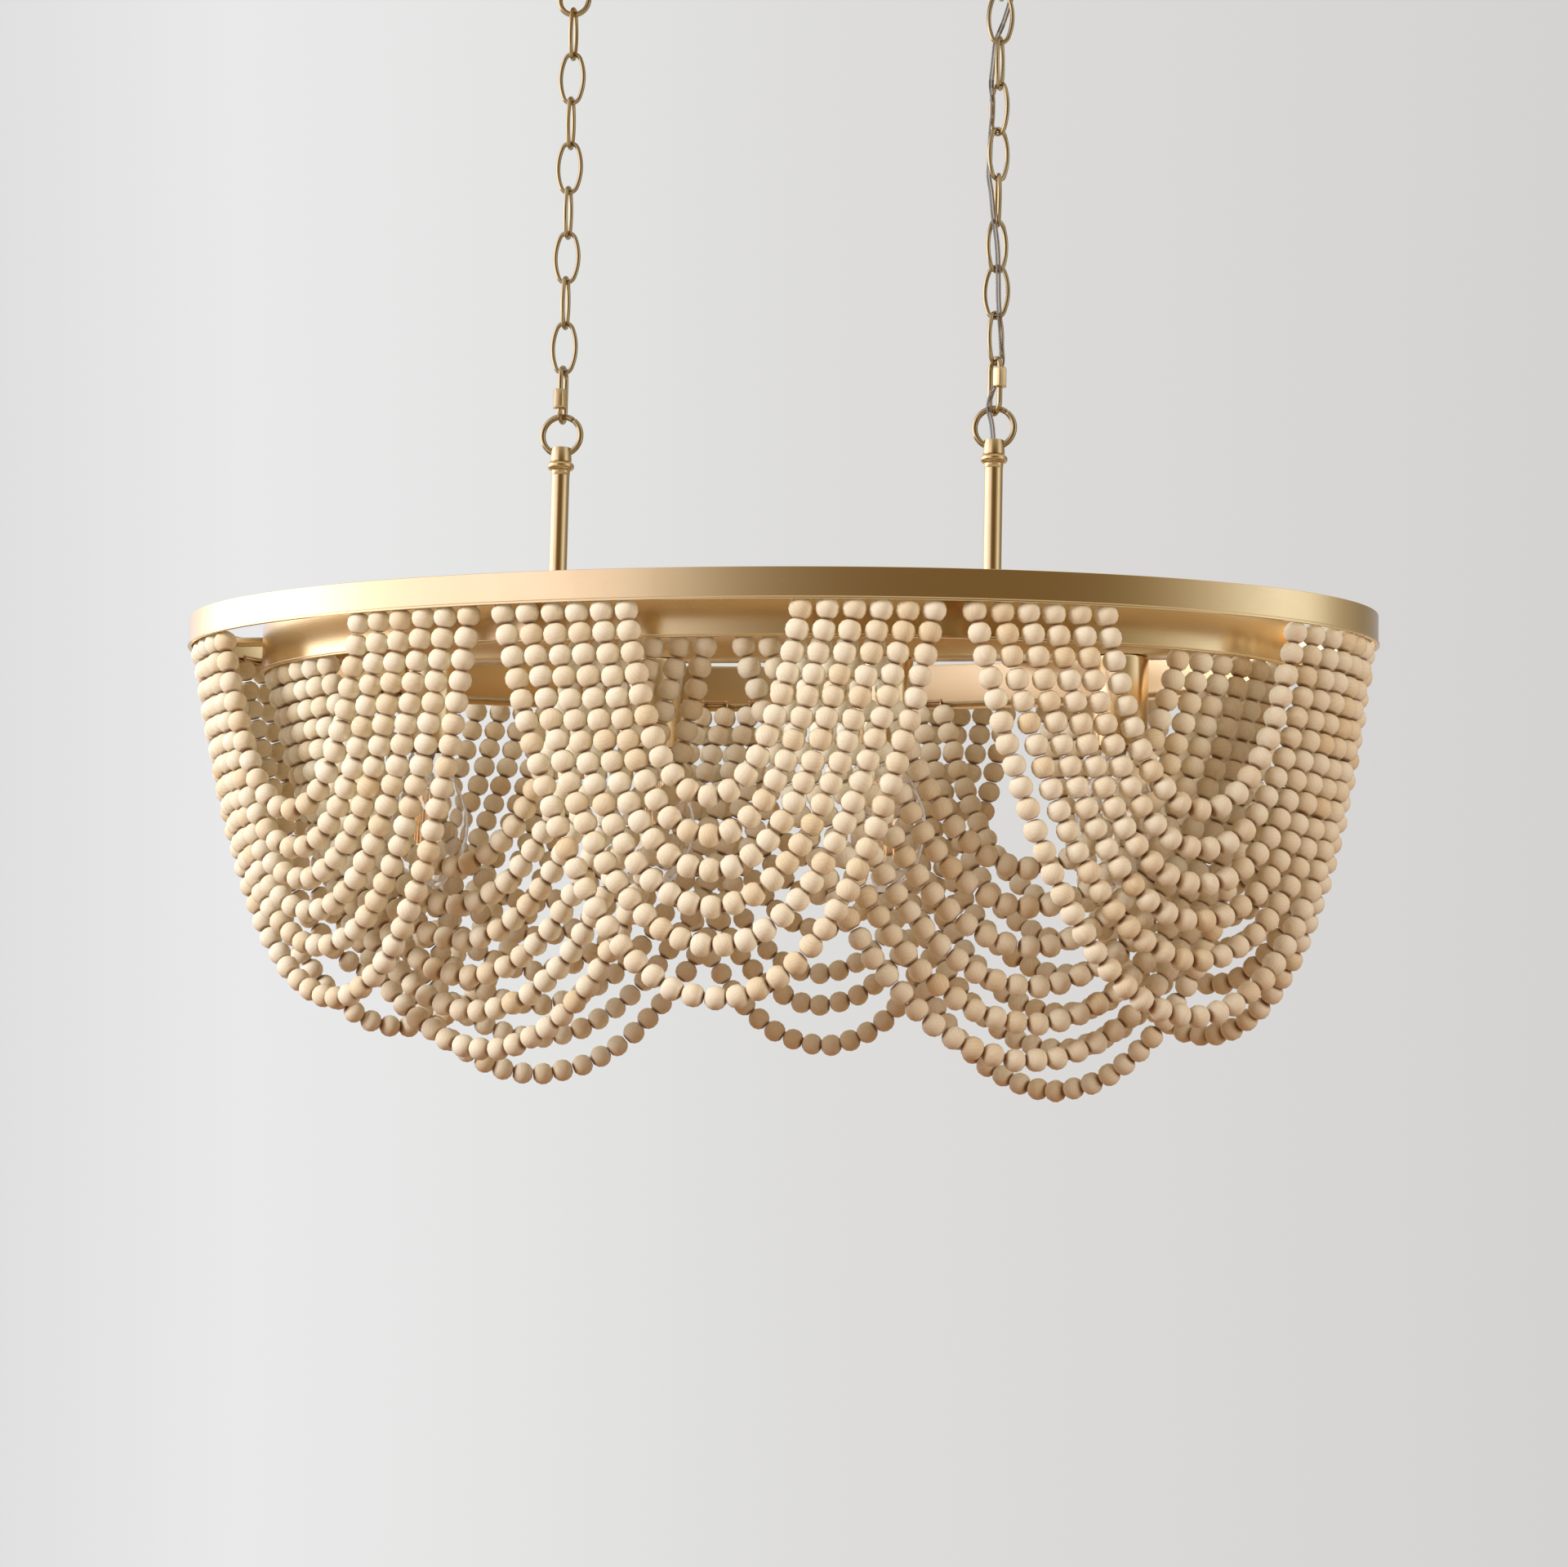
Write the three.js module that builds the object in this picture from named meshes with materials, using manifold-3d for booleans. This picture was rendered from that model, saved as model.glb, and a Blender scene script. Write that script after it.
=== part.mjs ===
// A beaded chandelier: two oval brass bands, the smaller hung lower inside the larger, each with
// swags of wooden beads strung from a wire rail inside its lower edge. A channel along the long
// axis carries four lamp sockets and two stems, and the stems hang on chains from a ceiling canopy.
// Millimetres, +Z up, +X along the long axis, origin at the middle of the face against the ceiling.

import * as THREE from "three";
import { mergeVertices } from "three/addons/utils/BufferGeometryUtils.js";
import Module from "manifold-3d";

// The gap left between pieces that touch, and how far a cut runs past what it cuts
const fitGap = 0.3;
const overrun = 2;

// The two oval bands
const outerLength = 900;
const outerWidth = 450;
const outerHeight = 22.6;
const bandGapAlong = 57.3;
const bandGapAcross = 40;
const innerLength = outerLength - 2 * bandGapAlong;
const innerWidth = outerWidth - 2 * bandGapAcross;
const innerHeight = 35.3;
const innerDrop = 7.3;
const bandThickness = 2.4;
const rimProud = 0.8;
const rimHeight = 1.8;
const ovalSides = 32;

// The wire rails that the beads hang on, and the tabs that hold the rails to the bands
const railRadius = 1.25;
const railInset = 8;
const railAboveRim = 4.4;
const railJointGap = 0.6;
const railSteps = 64;
const tabLength = 8;
const tabHeight = 2.6;
const tabRoot = 0.5;

// Bead strings: six to a swag, each swag threaded on one wire that loops over the rail
const beadDiameter = 17.2;
const strandsPerSwag = 6;
const strandPitch = 18.5;
const strandTopGap = 1.8;
const strandTurns = 8;
const loopWireRadius = 0.8;
const loopReach = 4;
const loopRoot = 3;
const frontSwagOpening = 127;
const outerSwagGap = 25;
const outerEndGap = 29.55;
const outerSwagDepth = 276.7;
const outerShortDepth = 134.7;
const outerDepthShares = [0, 0.19, 0.36, 0.535, 0.725, 1];
const innerSwagGap = 25;
const innerEndGap = 70;
const innerSwagDepth = 291.7;
const innerShortDepth = 155.7;
const innerDepthShares = [0, 0.2, 0.4, 0.6, 0.79, 1];

// How far apart the two stems and their chains hang
const stemSpacing = 332;

// Canopy, its mounting bar and the loops that the chains hang from
const canopyEnd = 44;
const canopyLength = stemSpacing + 2 * canopyEnd;
const canopyWidth = 110;
const canopyHeight = 24;
const canopyWall = 1.4;
const canopyEdge = 5;
const barEnd = 17;
const barLength = stemSpacing + 2 * barEnd;
const barWidth = 26;
const barThickness = 3;
const screwSpacing = 88.9;
const screwRadius = 2.4;
const knobSpacing = 180;
const knobRadius = 6;
const knobHeight = 9;
const knobStudRadius = 2;
const loopDiameter = 27;
const loopWire = 4.2;
const collarRadius = 7;
const collarHeight = 6;
const loopStudRadius = 3;

// Chains: links of bent wire, a screw-closed quick link below them and an eye ring in the stem cap
const linksPerChain = 8;
const linkLength = 42.5;
const linkWidth = 21.4;
const linkWire = 3.4;
const linkEndShare = 0.72;
const linkJointGap = 0.5;
const leftLinkTurns = [90, 0, 90, 0, 90, 0, 90, 0];
const rightLinkTurns = [0, 84, 141, 229, 286, 409, 352, 426];
const leftQuickTurn = -90;
const rightQuickTurn = 303;
const quickLength = 46;
const quickWidth = 21;
const quickWire = 4;
const quickOpening = 6.5;
const nutLength = 15;
const nutAcross = 9.4;
const nutTravel = 8;
const eyeDiameter = 34;
const eyeWire = 4;
const eyeAboveCap = 9.5;
const eyeJointGap = 0.6;

// Stems with their caps
const stemRise = 134.5;
const stemRadius = 6.9;
const stemWall = 1.2;
const capRadius = 8.3;
const capHeight = 11;
const collarRingRadius = 10.3;
const collarRingHeight = 7.4;
const collarRingEdge = 1.6;
const capSkirt = 3;
const capSocket = 9;
const spigotRadius = 4.8;
const spigotLength = 11;

// The channel along the long axis, the arms across it and the spokes between the bands
const channelWidth = 30;
const channelWall = 1.6;
const channelDepth = 22.7;
const armWidth = 24;
const armThickness = 6;
const spokeSize = 6.4;
const spokeDrop = 9.9;

// Lamps: sockets in round cups under the channel, and clear bulbs with screw bases
const lampSpacing = 175;
const cupRadius = 20.4;
const cupLength = 67;
const cupRecess = 4;
const cupEdge = 1.5;
const nippleRadius = 4.8;
const nippleLength = 6;
const boreRadius = 13.8;
const boreDepth = 29;
const baseRadius = 13;
const baseLength = 27;
const bulbRadius = 32;
const bulbLength = 140;
const globeDepth = 51;

// The clear supply cord, woven through the right chain
const cordRadius = 2;
const cordBlindDepth = 6;
const cordSway = 10;
const cordRouteShares = [
  [1.4, 0], [1.13, 0.12], [0.8, 0.43], [0.5, 0.42], [0.11, 0.44], [-0.37, 0.5], [-0.47, 0.25],
  [-0.55, 0.08], [-0.62, -0.09], [-0.5, -0.05], [-0.49, -0.05], [-0.57, -0.05], [-0.63, -0.05],
  [-0.65, -0.06], [-0.69, -0.09], [-0.48, -0.29], [-0.32, -0.54], [-0.16, -0.85], [0.01, -0.6],
  [0.12, -0.49], [0.17, -0.46], [0.2, -0.45], [0.23, -0.45], [0.32, -0.5], [0.4, -0.25],
  [0.46, -0.07], [0.5, 0.08], [0.22, 0.07], [-0.19, -0.19], [-0.39, -0.46], [-0.13, -0.47],
  [0, -0.5],
];

const wasm = await Module();
wasm.setup();

// The path of a tube through given points, with one section of the tube at each of them
class PointPath extends THREE.Curve {
  constructor(points) {
    super();
    this.points = points;
  }

  getPoint(share, target = new THREE.Vector3()) {
    const last = this.points.length - 1;
    const index = Math.min(Math.floor(share * last), last - 1);
    return target.lerpVectors(this.points[index], this.points[index + 1], share * last - index);
  }

  getUtoTmapping(share) {
    return share;
  }
}

function tube(points, radius, sides) {
  const section = new THREE.Shape();
  for (let side = 0; side < sides; side += 1) {
    const angle = (2 * Math.PI * side) / sides;
    const corner = [radius * Math.cos(angle), radius * Math.sin(angle)];
    if (side === 0) section.moveTo(...corner);
    else section.lineTo(...corner);
  }
  const path = new PointPath(points);
  return new THREE.ExtrudeGeometry(section, {
    extrudePath: path,
    steps: points.length - 1,
    bevelEnabled: false,
  });
}

function solidOf(geometry) {
  const bare = geometry.clone();
  bare.deleteAttribute("normal");
  bare.deleteAttribute("uv");
  const merged = mergeVertices(bare);
  return new wasm.Manifold(new wasm.Mesh({
    numProp: 3,
    vertProperties: merged.attributes.position.array,
    triVerts: Uint32Array.from(merged.index.array),
  }));
}

function geometryOf(solid) {
  const mesh = solid.getMesh();
  const geometry = new THREE.BufferGeometry();
  geometry.setAttribute("position", new THREE.BufferAttribute(mesh.vertProperties, 3));
  geometry.setIndex(new THREE.BufferAttribute(mesh.triVerts, 1));
  geometry.computeVertexNormals();
  return geometry;
}

function joined(geometries) {
  return geometryOf(geometries.map(solidOf).reduce((whole, next) => whole.add(next)));
}

function cut(geometry, tools) {
  return geometryOf(tools.map(solidOf).reduce((whole, next) => whole.subtract(next), solidOf(geometry)));
}

// A turned solid: the profile is given as radius and height, from its lowest point to its highest
function turned(profile, sides) {
  const points = profile.map(([radius, height]) => new THREE.Vector2(radius, height));
  return new THREE.LatheGeometry(points, sides).rotateX(Math.PI / 2);
}

function round(radius, bottom, top, sides) {
  return turned([[0, bottom], [radius, bottom], [radius, top], [0, top]], sides);
}

function block(length, width, bottom, top) {
  return new THREE.BoxGeometry(length, width, top - bottom).translate(0, 0, (top + bottom) / 2);
}

// An upright oval prism, and the oval hoop left when a smaller one is taken from it
function ovalShape(length, width) {
  const shape = new THREE.Shape();
  shape.absellipse(0, 0, length / 2, width / 2, 0, 2 * Math.PI, false, 0);
  return shape;
}

function ovalPrism(length, width, bottom, top) {
  return new THREE.ExtrudeGeometry(ovalShape(length, width), {
    depth: top - bottom,
    curveSegments: ovalSides,
    bevelEnabled: false,
  }).translate(0, 0, bottom);
}

function hoop(length, width, thickness, bottom, top) {
  const shape = ovalShape(length, width);
  shape.holes.push(ovalShape(length - 2 * thickness, width - 2 * thickness));
  return new THREE.ExtrudeGeometry(shape, {
    depth: top - bottom,
    curveSegments: ovalSides,
    bevelEnabled: false,
  }).translate(0, 0, bottom);
}

// Heights of the hanging line, worked out from the ceiling down through each contact
const loopCentre = -canopyHeight - collarHeight - loopDiameter / 2 + loopWire * 0.6;
const loopBottom = loopCentre - (loopDiameter - loopWire) / 2;
const linkReach = linkLength - linkWire;
const linkPitch = linkReach - linkWire - fitGap;
const firstLinkCentre = loopBottom + loopWire / 2 + fitGap + linkWire / 2 - linkReach / 2;
const linkCentre = (index) => firstLinkCentre - index * linkPitch;
const chainBottom = linkCentre(linksPerChain - 1) - linkReach / 2;
const quickCentre = chainBottom + linkWire / 2 + fitGap + quickWire / 2 - (quickLength - quickWire) / 2;
const quickBottom = quickCentre - (quickLength - quickWire) / 2;
const eyeCentre = quickBottom + quickWire / 2 + fitGap + eyeWire / 2 - (eyeDiameter - eyeWire) / 2;
const capTop = eyeCentre - eyeAboveCap;
const outerTop = capTop - stemRise;
const outerBottom = outerTop - outerHeight;
const innerTop = outerTop - innerDrop;
const innerBottom = innerTop - innerHeight;
const armBottom = innerTop + fitGap;
const armTop = armBottom + armThickness;
const channelBottom = innerTop - channelDepth;
const stemBottom = armTop + fitGap;
const capBottom = capTop - capHeight - collarRingHeight - capSkirt;

const brass = { color: 0xc8a468, roughness: 0.36, metalness: 1 };
const agedBrass = { color: 0x9f8250, roughness: 0.42, metalness: 1 };
const bulbGlass = { color: 0xf4efe6, roughness: 0.05, metalness: 0, transparent: true, opacity: 0.4 };
const beadWood = { color: 0xe6d0ab, roughness: 0.62, metalness: 0 };
const clearCord = { color: 0xcfcfca, roughness: 0.25, metalness: 0 };

const chandelier = new THREE.Group();

function addPiece(name, geometry, finish, x = 0, y = 0, z = 0) {
  const mesh = new THREE.Mesh(geometry, new THREE.MeshStandardMaterial(finish));
  mesh.name = name;
  mesh.position.set(x, y, z);
  chandelier.add(mesh);
}

// Canopy: an oblong pan, open to the ceiling, with holes for the knobs, the loops and the cord
function stadiumShape(length, width, inset) {
  const radius = width / 2 - inset;
  const centre = (length - width) / 2;
  const shape = new THREE.Shape();
  shape.absarc(centre, 0, radius, -Math.PI / 2, Math.PI / 2, false);
  shape.absarc(-centre, 0, radius, Math.PI / 2, (3 * Math.PI) / 2, false);
  return shape;
}

function pan(inset, bottom, top) {
  const edge = canopyEdge - inset;
  const body = new THREE.ExtrudeGeometry(stadiumShape(canopyLength, canopyWidth, canopyEdge), {
    depth: top - bottom - edge,
    curveSegments: 5,
    bevelEnabled: true,
    bevelThickness: edge,
    bevelSize: edge,
    bevelSegments: 2,
  }).translate(0, 0, bottom + edge);
  return geometryOf(solidOf(body).intersect(solidOf(block(canopyLength + overrun, canopyWidth + overrun,
    bottom - overrun, top))));
}

const cordHoleX = stemSpacing / 2 + cordSway * cordRouteShares[0][0];
const cordEntry = -cordSway * cordRouteShares[cordRouteShares.length - 1][1];

function canopyGeometry() {
  const holes = [
    [-stemSpacing / 2, loopStudRadius],
    [stemSpacing / 2, loopStudRadius],
    [-knobSpacing / 2, knobStudRadius],
    [knobSpacing / 2, knobStudRadius],
    [cordHoleX, cordRadius],
  ];
  const drills = holes.map(([x, radius]) => round(radius + fitGap, -canopyHeight - overrun,
    -canopyHeight + canopyWall + overrun, 12).translate(x, 0, 0));
  const inside = pan(canopyWall, -canopyHeight + canopyWall, overrun);
  return cut(pan(0, -canopyHeight, 0), [inside, ...drills]);
}

function mountingBarGeometry() {
  const holes = [-stemSpacing / 2, stemSpacing / 2].map((x) => [x, loopStudRadius]);
  holes.push([-knobSpacing / 2, knobStudRadius], [knobSpacing / 2, knobStudRadius]);
  const drills = holes.map(([x, radius]) => round(radius + fitGap, -barThickness - overrun, overrun, 12)
    .translate(x, 0, 0));
  for (const x of [-screwSpacing / 2, screwSpacing / 2]) {
    drills.push(round(screwRadius, -barThickness - overrun, overrun, 24).translate(x, 0, 0));
  }
  return cut(block(barLength, barWidth, -barThickness, 0), drills);
}

function knobGeometry() {
  const top = -canopyHeight - fitGap;
  return turned([
    [0, top - knobHeight],
    [knobRadius * 0.6, top - knobHeight],
    [knobRadius, top - knobHeight * 0.7],
    [knobRadius, top - knobHeight * 0.25],
    [knobRadius * 0.7, top],
    [knobStudRadius, top],
    [knobStudRadius, -fitGap],
    [0, -fitGap],
  ], 12);
}

// A ring of round wire in the XZ plane, cut through at the angle where its two ends meet
function ringWire(diameter, wire, jointGap, jointAngle, steps, sides) {
  const radius = (diameter - wire) / 2;
  const open = jointGap / radius;
  const points = [];
  for (let step = 0; step <= steps; step += 1) {
    const angle = jointAngle + open / 2 + ((2 * Math.PI - open) * step) / steps;
    points.push(new THREE.Vector3(radius * Math.cos(angle), 0, radius * Math.sin(angle)));
  }
  return tube(points, wire / 2, sides);
}

function canopyLoopGeometry() {
  const ring = new THREE.TorusGeometry((loopDiameter - loopWire) / 2, loopWire / 2, 6, 16)
    .rotateX(Math.PI / 2)
    .translate(0, 0, loopCentre);
  const collar = turned([
    [0, -canopyHeight - fitGap - collarHeight],
    [collarRadius * 0.75, -canopyHeight - fitGap - collarHeight],
    [collarRadius, -canopyHeight - fitGap - collarHeight * 0.6],
    [collarRadius, -canopyHeight - fitGap],
    [loopStudRadius, -canopyHeight - fitGap],
    [loopStudRadius, -fitGap],
    [0, -fitGap],
  ], 12);
  return joined([ring, collar]);
}

addPiece("canopy", canopyGeometry(), brass);
addPiece("mounting_bar", mountingBarGeometry(), agedBrass);
addPiece("canopy_knob_left", knobGeometry(), brass, -knobSpacing / 2);
addPiece("canopy_knob_right", knobGeometry(), brass, knobSpacing / 2);
addPiece("canopy_loop_left", canopyLoopGeometry(), agedBrass, -stemSpacing / 2);
addPiece("canopy_loop_right", canopyLoopGeometry().rotateZ(Math.PI / 2), agedBrass, stemSpacing / 2);

// A chain link: an oval of four arcs, bent from one wire whose ends meet in the middle of a side
function linkGeometry() {
  const halfLength = linkReach / 2;
  const halfWidth = (linkWidth - linkWire) / 2;
  const endRadius = halfWidth * linkEndShare;
  const endCentre = halfLength - endRadius;
  const sideRadius = (halfWidth ** 2 + endCentre ** 2 - endRadius ** 2) / (2 * (halfWidth - endRadius));
  const sideHalfTurn = Math.atan2(endCentre, sideRadius - halfWidth);
  const open = linkJointGap / sideRadius;
  const steps = 16;
  const points = [];
  for (let step = 0; step <= steps; step += 1) {
    const turn = open / 2 + ((2 * Math.PI - open) * step) / steps;
    const away = Math.abs(Math.asin(Math.sin(turn)));
    const onSide = away < sideHalfTurn;
    const radius = onSide ? sideRadius : endRadius;
    const x = onSide ? Math.sign(Math.cos(turn)) * (halfWidth - sideRadius) : 0;
    const z = onSide ? 0 : Math.sign(Math.sin(turn)) * endCentre;
    points.push(new THREE.Vector3(x + radius * Math.cos(turn), 0, z + radius * Math.sin(turn)));
  }
  return tube(points, linkWire / 2, 5);
}

// A quick link: a straight-sided wire loop, open on one side where its nut bridges the gap
function quickLinkGeometry() {
  const bend = (quickWidth - quickWire) / 2;
  const straight = (quickLength - quickWidth) / 2;
  const openBottom = -straight + (nutLength - quickOpening) / 4;
  const points = [new THREE.Vector3(bend, 0, openBottom + quickOpening)];
  const bendSteps = 6;
  for (let step = 0; step <= bendSteps; step += 1) {
    const angle = (Math.PI * step) / bendSteps;
    points.push(new THREE.Vector3(bend * Math.cos(angle), 0, straight + bend * Math.sin(angle)));
  }
  for (let step = 0; step <= bendSteps; step += 1) {
    const angle = Math.PI * (1 + step / bendSteps);
    points.push(new THREE.Vector3(bend * Math.cos(angle), 0, -straight + bend * Math.sin(angle)));
  }
  points.push(new THREE.Vector3(bend, 0, openBottom));
  return tube(points, quickWire / 2, 8);
}

function quickNutGeometry() {
  const shape = new THREE.Shape();
  const corner = nutAcross / Math.sqrt(3);
  for (let side = 0; side < 6; side += 1) {
    const angle = (Math.PI * side) / 3;
    const point = [corner * Math.cos(angle), corner * Math.sin(angle)];
    if (side === 0) shape.moveTo(...point);
    else shape.lineTo(...point);
  }
  const bore = new THREE.Path();
  bore.absarc(0, 0, quickWire / 2 + fitGap, 0, 2 * Math.PI, true);
  shape.holes.push(bore);
  return new THREE.ExtrudeGeometry(shape, { depth: nutLength, curveSegments: 5, bevelEnabled: false })
    .translate((quickWidth - quickWire) / 2, 0, -(quickLength - quickWidth) / 2);
}

// A stem cap: the eye ring runs through it from side to side, and the cord enters its top
function stemCapGeometry(withCord) {
  const ringTop = capTop - capHeight;
  const ringBottom = ringTop - collarRingHeight;
  const body = turned([
    [0, capBottom],
    [stemRadius + stemWall, capBottom],
    [stemRadius + stemWall, ringBottom],
    [collarRingRadius - collarRingEdge, ringBottom],
    [collarRingRadius, ringBottom + collarRingEdge],
    [collarRingRadius, ringTop - collarRingEdge],
    [collarRingRadius - collarRingEdge, ringTop],
    [capRadius, ringTop],
    [capRadius, capTop - cupEdge],
    [capRadius - cupEdge, capTop],
    [0, capTop],
  ], 16);
  const eyeTunnel = new THREE.TorusGeometry((eyeDiameter - eyeWire) / 2, eyeWire / 2 + fitGap * 1.6, 8, 20)
    .rotateX(Math.PI / 2)
    .translate(0, 0, eyeCentre);
  const stemSocket = round(stemRadius + fitGap, capBottom - overrun, capBottom + capSocket, 12);
  const tools = [eyeTunnel, stemSocket];
  if (withCord) {
    tools.push(round(cordRadius + fitGap, capTop - cordBlindDepth, capTop + overrun, 10)
      .translate(0, -cordEntry, 0));
  }
  return cut(body, tools);
}

function stemGeometry() {
  const top = capBottom + capSocket - fitGap;
  return turned([
    [spigotRadius, stemBottom - spigotLength],
    [spigotRadius, stemBottom],
    [stemRadius, stemBottom],
    [stemRadius, top],
    [stemRadius - stemWall, top],
    [stemRadius - stemWall, stemBottom + stemWall],
    [spigotRadius - stemWall, stemBottom],
    [spigotRadius - stemWall, stemBottom - spigotLength],
    [spigotRadius, stemBottom - spigotLength],
  ], 12);
}

// The left chain hangs straight, with each link a quarter turn from the last. The right one has
// taken up a twist, and its quick link hangs the other way up.
const chains = [
  { side: "left", x: -stemSpacing / 2, turns: leftLinkTurns, quickTurn: leftQuickTurn, flip: 0 },
  { side: "right", x: stemSpacing / 2, turns: rightLinkTurns, quickTurn: rightQuickTurn, flip: Math.PI },
];
for (const { side, x, turns, quickTurn, flip } of chains) {
  turns.forEach((turn, index) => {
    const link = linkGeometry().rotateZ(THREE.MathUtils.degToRad(turn));
    addPiece(`chain_link_${side}_${index + 1}`, link, agedBrass, x, 0, linkCentre(index));
  });
  const quickAngle = THREE.MathUtils.degToRad(quickTurn);
  const loop = quickLinkGeometry().rotateX(flip).rotateZ(quickAngle);
  const nut = quickNutGeometry().rotateX(flip).rotateZ(quickAngle);
  addPiece(`quick_link_${side}`, loop, agedBrass, x, 0, quickCentre);
  addPiece(`quick_link_nut_${side}`, nut, agedBrass, x, 0, quickCentre);
  const eye = ringWire(eyeDiameter, eyeWire, eyeJointGap, -Math.PI / 2, 20, 8);
  addPiece(`eye_ring_${side}`, eye, agedBrass, x, 0, eyeCentre);
  addPiece(`stem_cap_${side}`, stemCapGeometry(side === "right"), brass, x);
  addPiece(`stem_${side}`, stemGeometry(), brass, x);
}

// The cord comes down through the canopy, weaves through the right chain and enters the cap's top
function cordGeometry() {
  const hang = -canopyHeight - capTop;
  const last = cordRouteShares.length - 1;
  const points = cordRouteShares.map(([across, deep], index) => new THREE.Vector3(across * cordSway,
    deep * cordSway, -canopyHeight - (hang * index) / last));
  const foot = points[last];
  points.unshift(new THREE.Vector3(points[0].x, points[0].y, -canopyHeight / 2));
  points.push(new THREE.Vector3(foot.x, foot.y, capTop - cordBlindDepth + fitGap));
  return tube(points, cordRadius, 7);
}

addPiece("supply_cord", cordGeometry(), clearCord, stemSpacing / 2);

// The channel runs between the ends of the inner band, open at its top, with a hole for each cup
const lampPlaces = [-1.5, -0.5, 0.5, 1.5].map((step) => step * lampSpacing);
const lampNames = ["far_left", "mid_left", "mid_right", "far_right"];

function withinBand(geometry, length, width) {
  const reach = 2 * (bandThickness + fitGap);
  const limit = ovalPrism(length - reach, width - reach, innerBottom - overrun, outerTop + overrun);
  return geometryOf(solidOf(geometry).intersect(solidOf(limit)));
}

function channelGeometry() {
  const trough = block(innerLength, channelWidth - 2 * channelWall, channelBottom + channelWall,
    innerTop + overrun);
  const drills = lampPlaces.map((x) => round(nippleRadius + fitGap, channelBottom - overrun,
    channelBottom + channelWall + overrun, 12).translate(x, 0, 0));
  const whole = block(innerLength, channelWidth, channelBottom, innerTop);
  return withinBand(cut(whole, [trough, ...drills]), innerLength, innerWidth);
}

function armGeometry() {
  const hole = round(spigotRadius + fitGap, armBottom - overrun, armTop + overrun, 12);
  return cut(block(armWidth, outerWidth, armBottom, armTop), [hole]);
}

function placedArm(x) {
  return withinBand(armGeometry().translate(x, 0, 0), outerLength, outerWidth);
}

function spokeGeometry() {
  const outerEnd = outerLength / 2 - bandThickness - fitGap * 1.5;
  const innerEnd = innerLength / 2 + fitGap * 1.5;
  const top = outerTop - spokeDrop;
  return block(outerEnd - innerEnd, spokeSize, top - spokeSize, top)
    .translate((outerEnd + innerEnd) / 2, 0, 0);
}

// Places along an oval rail, measured from the middle of the front
function railPlan(length, width) {
  const curve = new THREE.EllipseCurve(0, 0, length / 2 - railInset, width / 2 - railInset,
    -Math.PI / 2, (3 * Math.PI) / 2);
  curve.arcLengthDivisions = 1440;
  return curve;
}

const outerRail = railPlan(outerLength, outerWidth);
const innerRail = railPlan(innerLength, innerWidth);

function railPlace(rail, distance) {
  const around = distance / rail.getLength();
  const share = around - Math.floor(around);
  const point = rail.getPointAt(share);
  const along = rail.getTangentAt(share);
  return { point, along, outward: new THREE.Vector2(along.y, -along.x) };
}

function railGeometry(rail, height) {
  const open = railJointGap / rail.xRadius;
  const points = [];
  for (let step = 0; step <= railSteps; step += 1) {
    const angle = Math.PI / railSteps + open / 2 + ((2 * Math.PI - open) * step) / railSteps;
    points.push(new THREE.Vector3(rail.xRadius * Math.cos(angle), rail.yRadius * Math.sin(angle), height));
  }
  return tube(points, railRadius, 4);
}

// A band: an upright oval hoop with a thicker rim at its foot, and tabs inside that hold the rail
function bandGeometry(length, width, top, bottom, rail, tabPlaces) {
  const railHeight = bottom + railAboveRim;
  const rootInset = bandThickness - tabRoot;
  const tipInset = railInset - railRadius - fitGap;
  const tabs = tabPlaces.map((distance) => {
    const { point, along, outward } = railPlace(rail, distance);
    const outset = railInset - (rootInset + tipInset) / 2;
    return block(tabLength, tipInset - rootInset, railHeight - tabHeight / 2, railHeight + tabHeight / 2)
      .rotateZ(Math.atan2(along.y, along.x))
      .translate(point.x + outward.x * outset, point.y + outward.y * outset, 0);
  });
  return joined([
    hoop(length, width, bandThickness, bottom, top),
    hoop(length + 2 * rimProud, width + 2 * rimProud, bandThickness + rimProud, bottom, bottom + rimHeight),
    ...tabs,
  ]);
}

// Swags: each is given by its middle along the rail and the half-spans of its strands
const spread = (strandsPerSwag - 1) * strandPitch;
const outerRound = outerRail.getLength();
const innerRound = innerRail.getLength();
const cornerSwagStart = frontSwagOpening / 2 + spread + outerSwagGap;
const cornerSwagEnd = outerRound / 4 - outerEndGap / 2;
const cornerSwagOpening = cornerSwagEnd - cornerSwagStart - 2 * spread;
const cornerSwagMiddle = (cornerSwagStart + cornerSwagEnd) / 2;
const outerSwags = [
  { name: "front", middle: 0, opening: frontSwagOpening },
  { name: "front_right", middle: cornerSwagMiddle, opening: cornerSwagOpening },
  { name: "back_right", middle: outerRound / 2 - cornerSwagMiddle, opening: cornerSwagOpening },
  { name: "back", middle: outerRound / 2, opening: frontSwagOpening },
  { name: "back_left", middle: outerRound / 2 + cornerSwagMiddle, opening: cornerSwagOpening },
  { name: "front_left", middle: outerRound - cornerSwagMiddle, opening: cornerSwagOpening },
];
const innerOpening = innerRound / 4 - (innerSwagGap + innerEndGap) / 2 - 2 * spread;
const innerShift = (innerEndGap - innerSwagGap) / 4;
const innerSwags = ["front_right", "back_right", "back_left", "front_left"].map((name, quarter) => ({
  name,
  middle: innerRound * ((quarter + 0.5) / 4) + (quarter % 2 === 0 ? -innerShift : innerShift),
  opening: innerOpening,
}));

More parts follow.
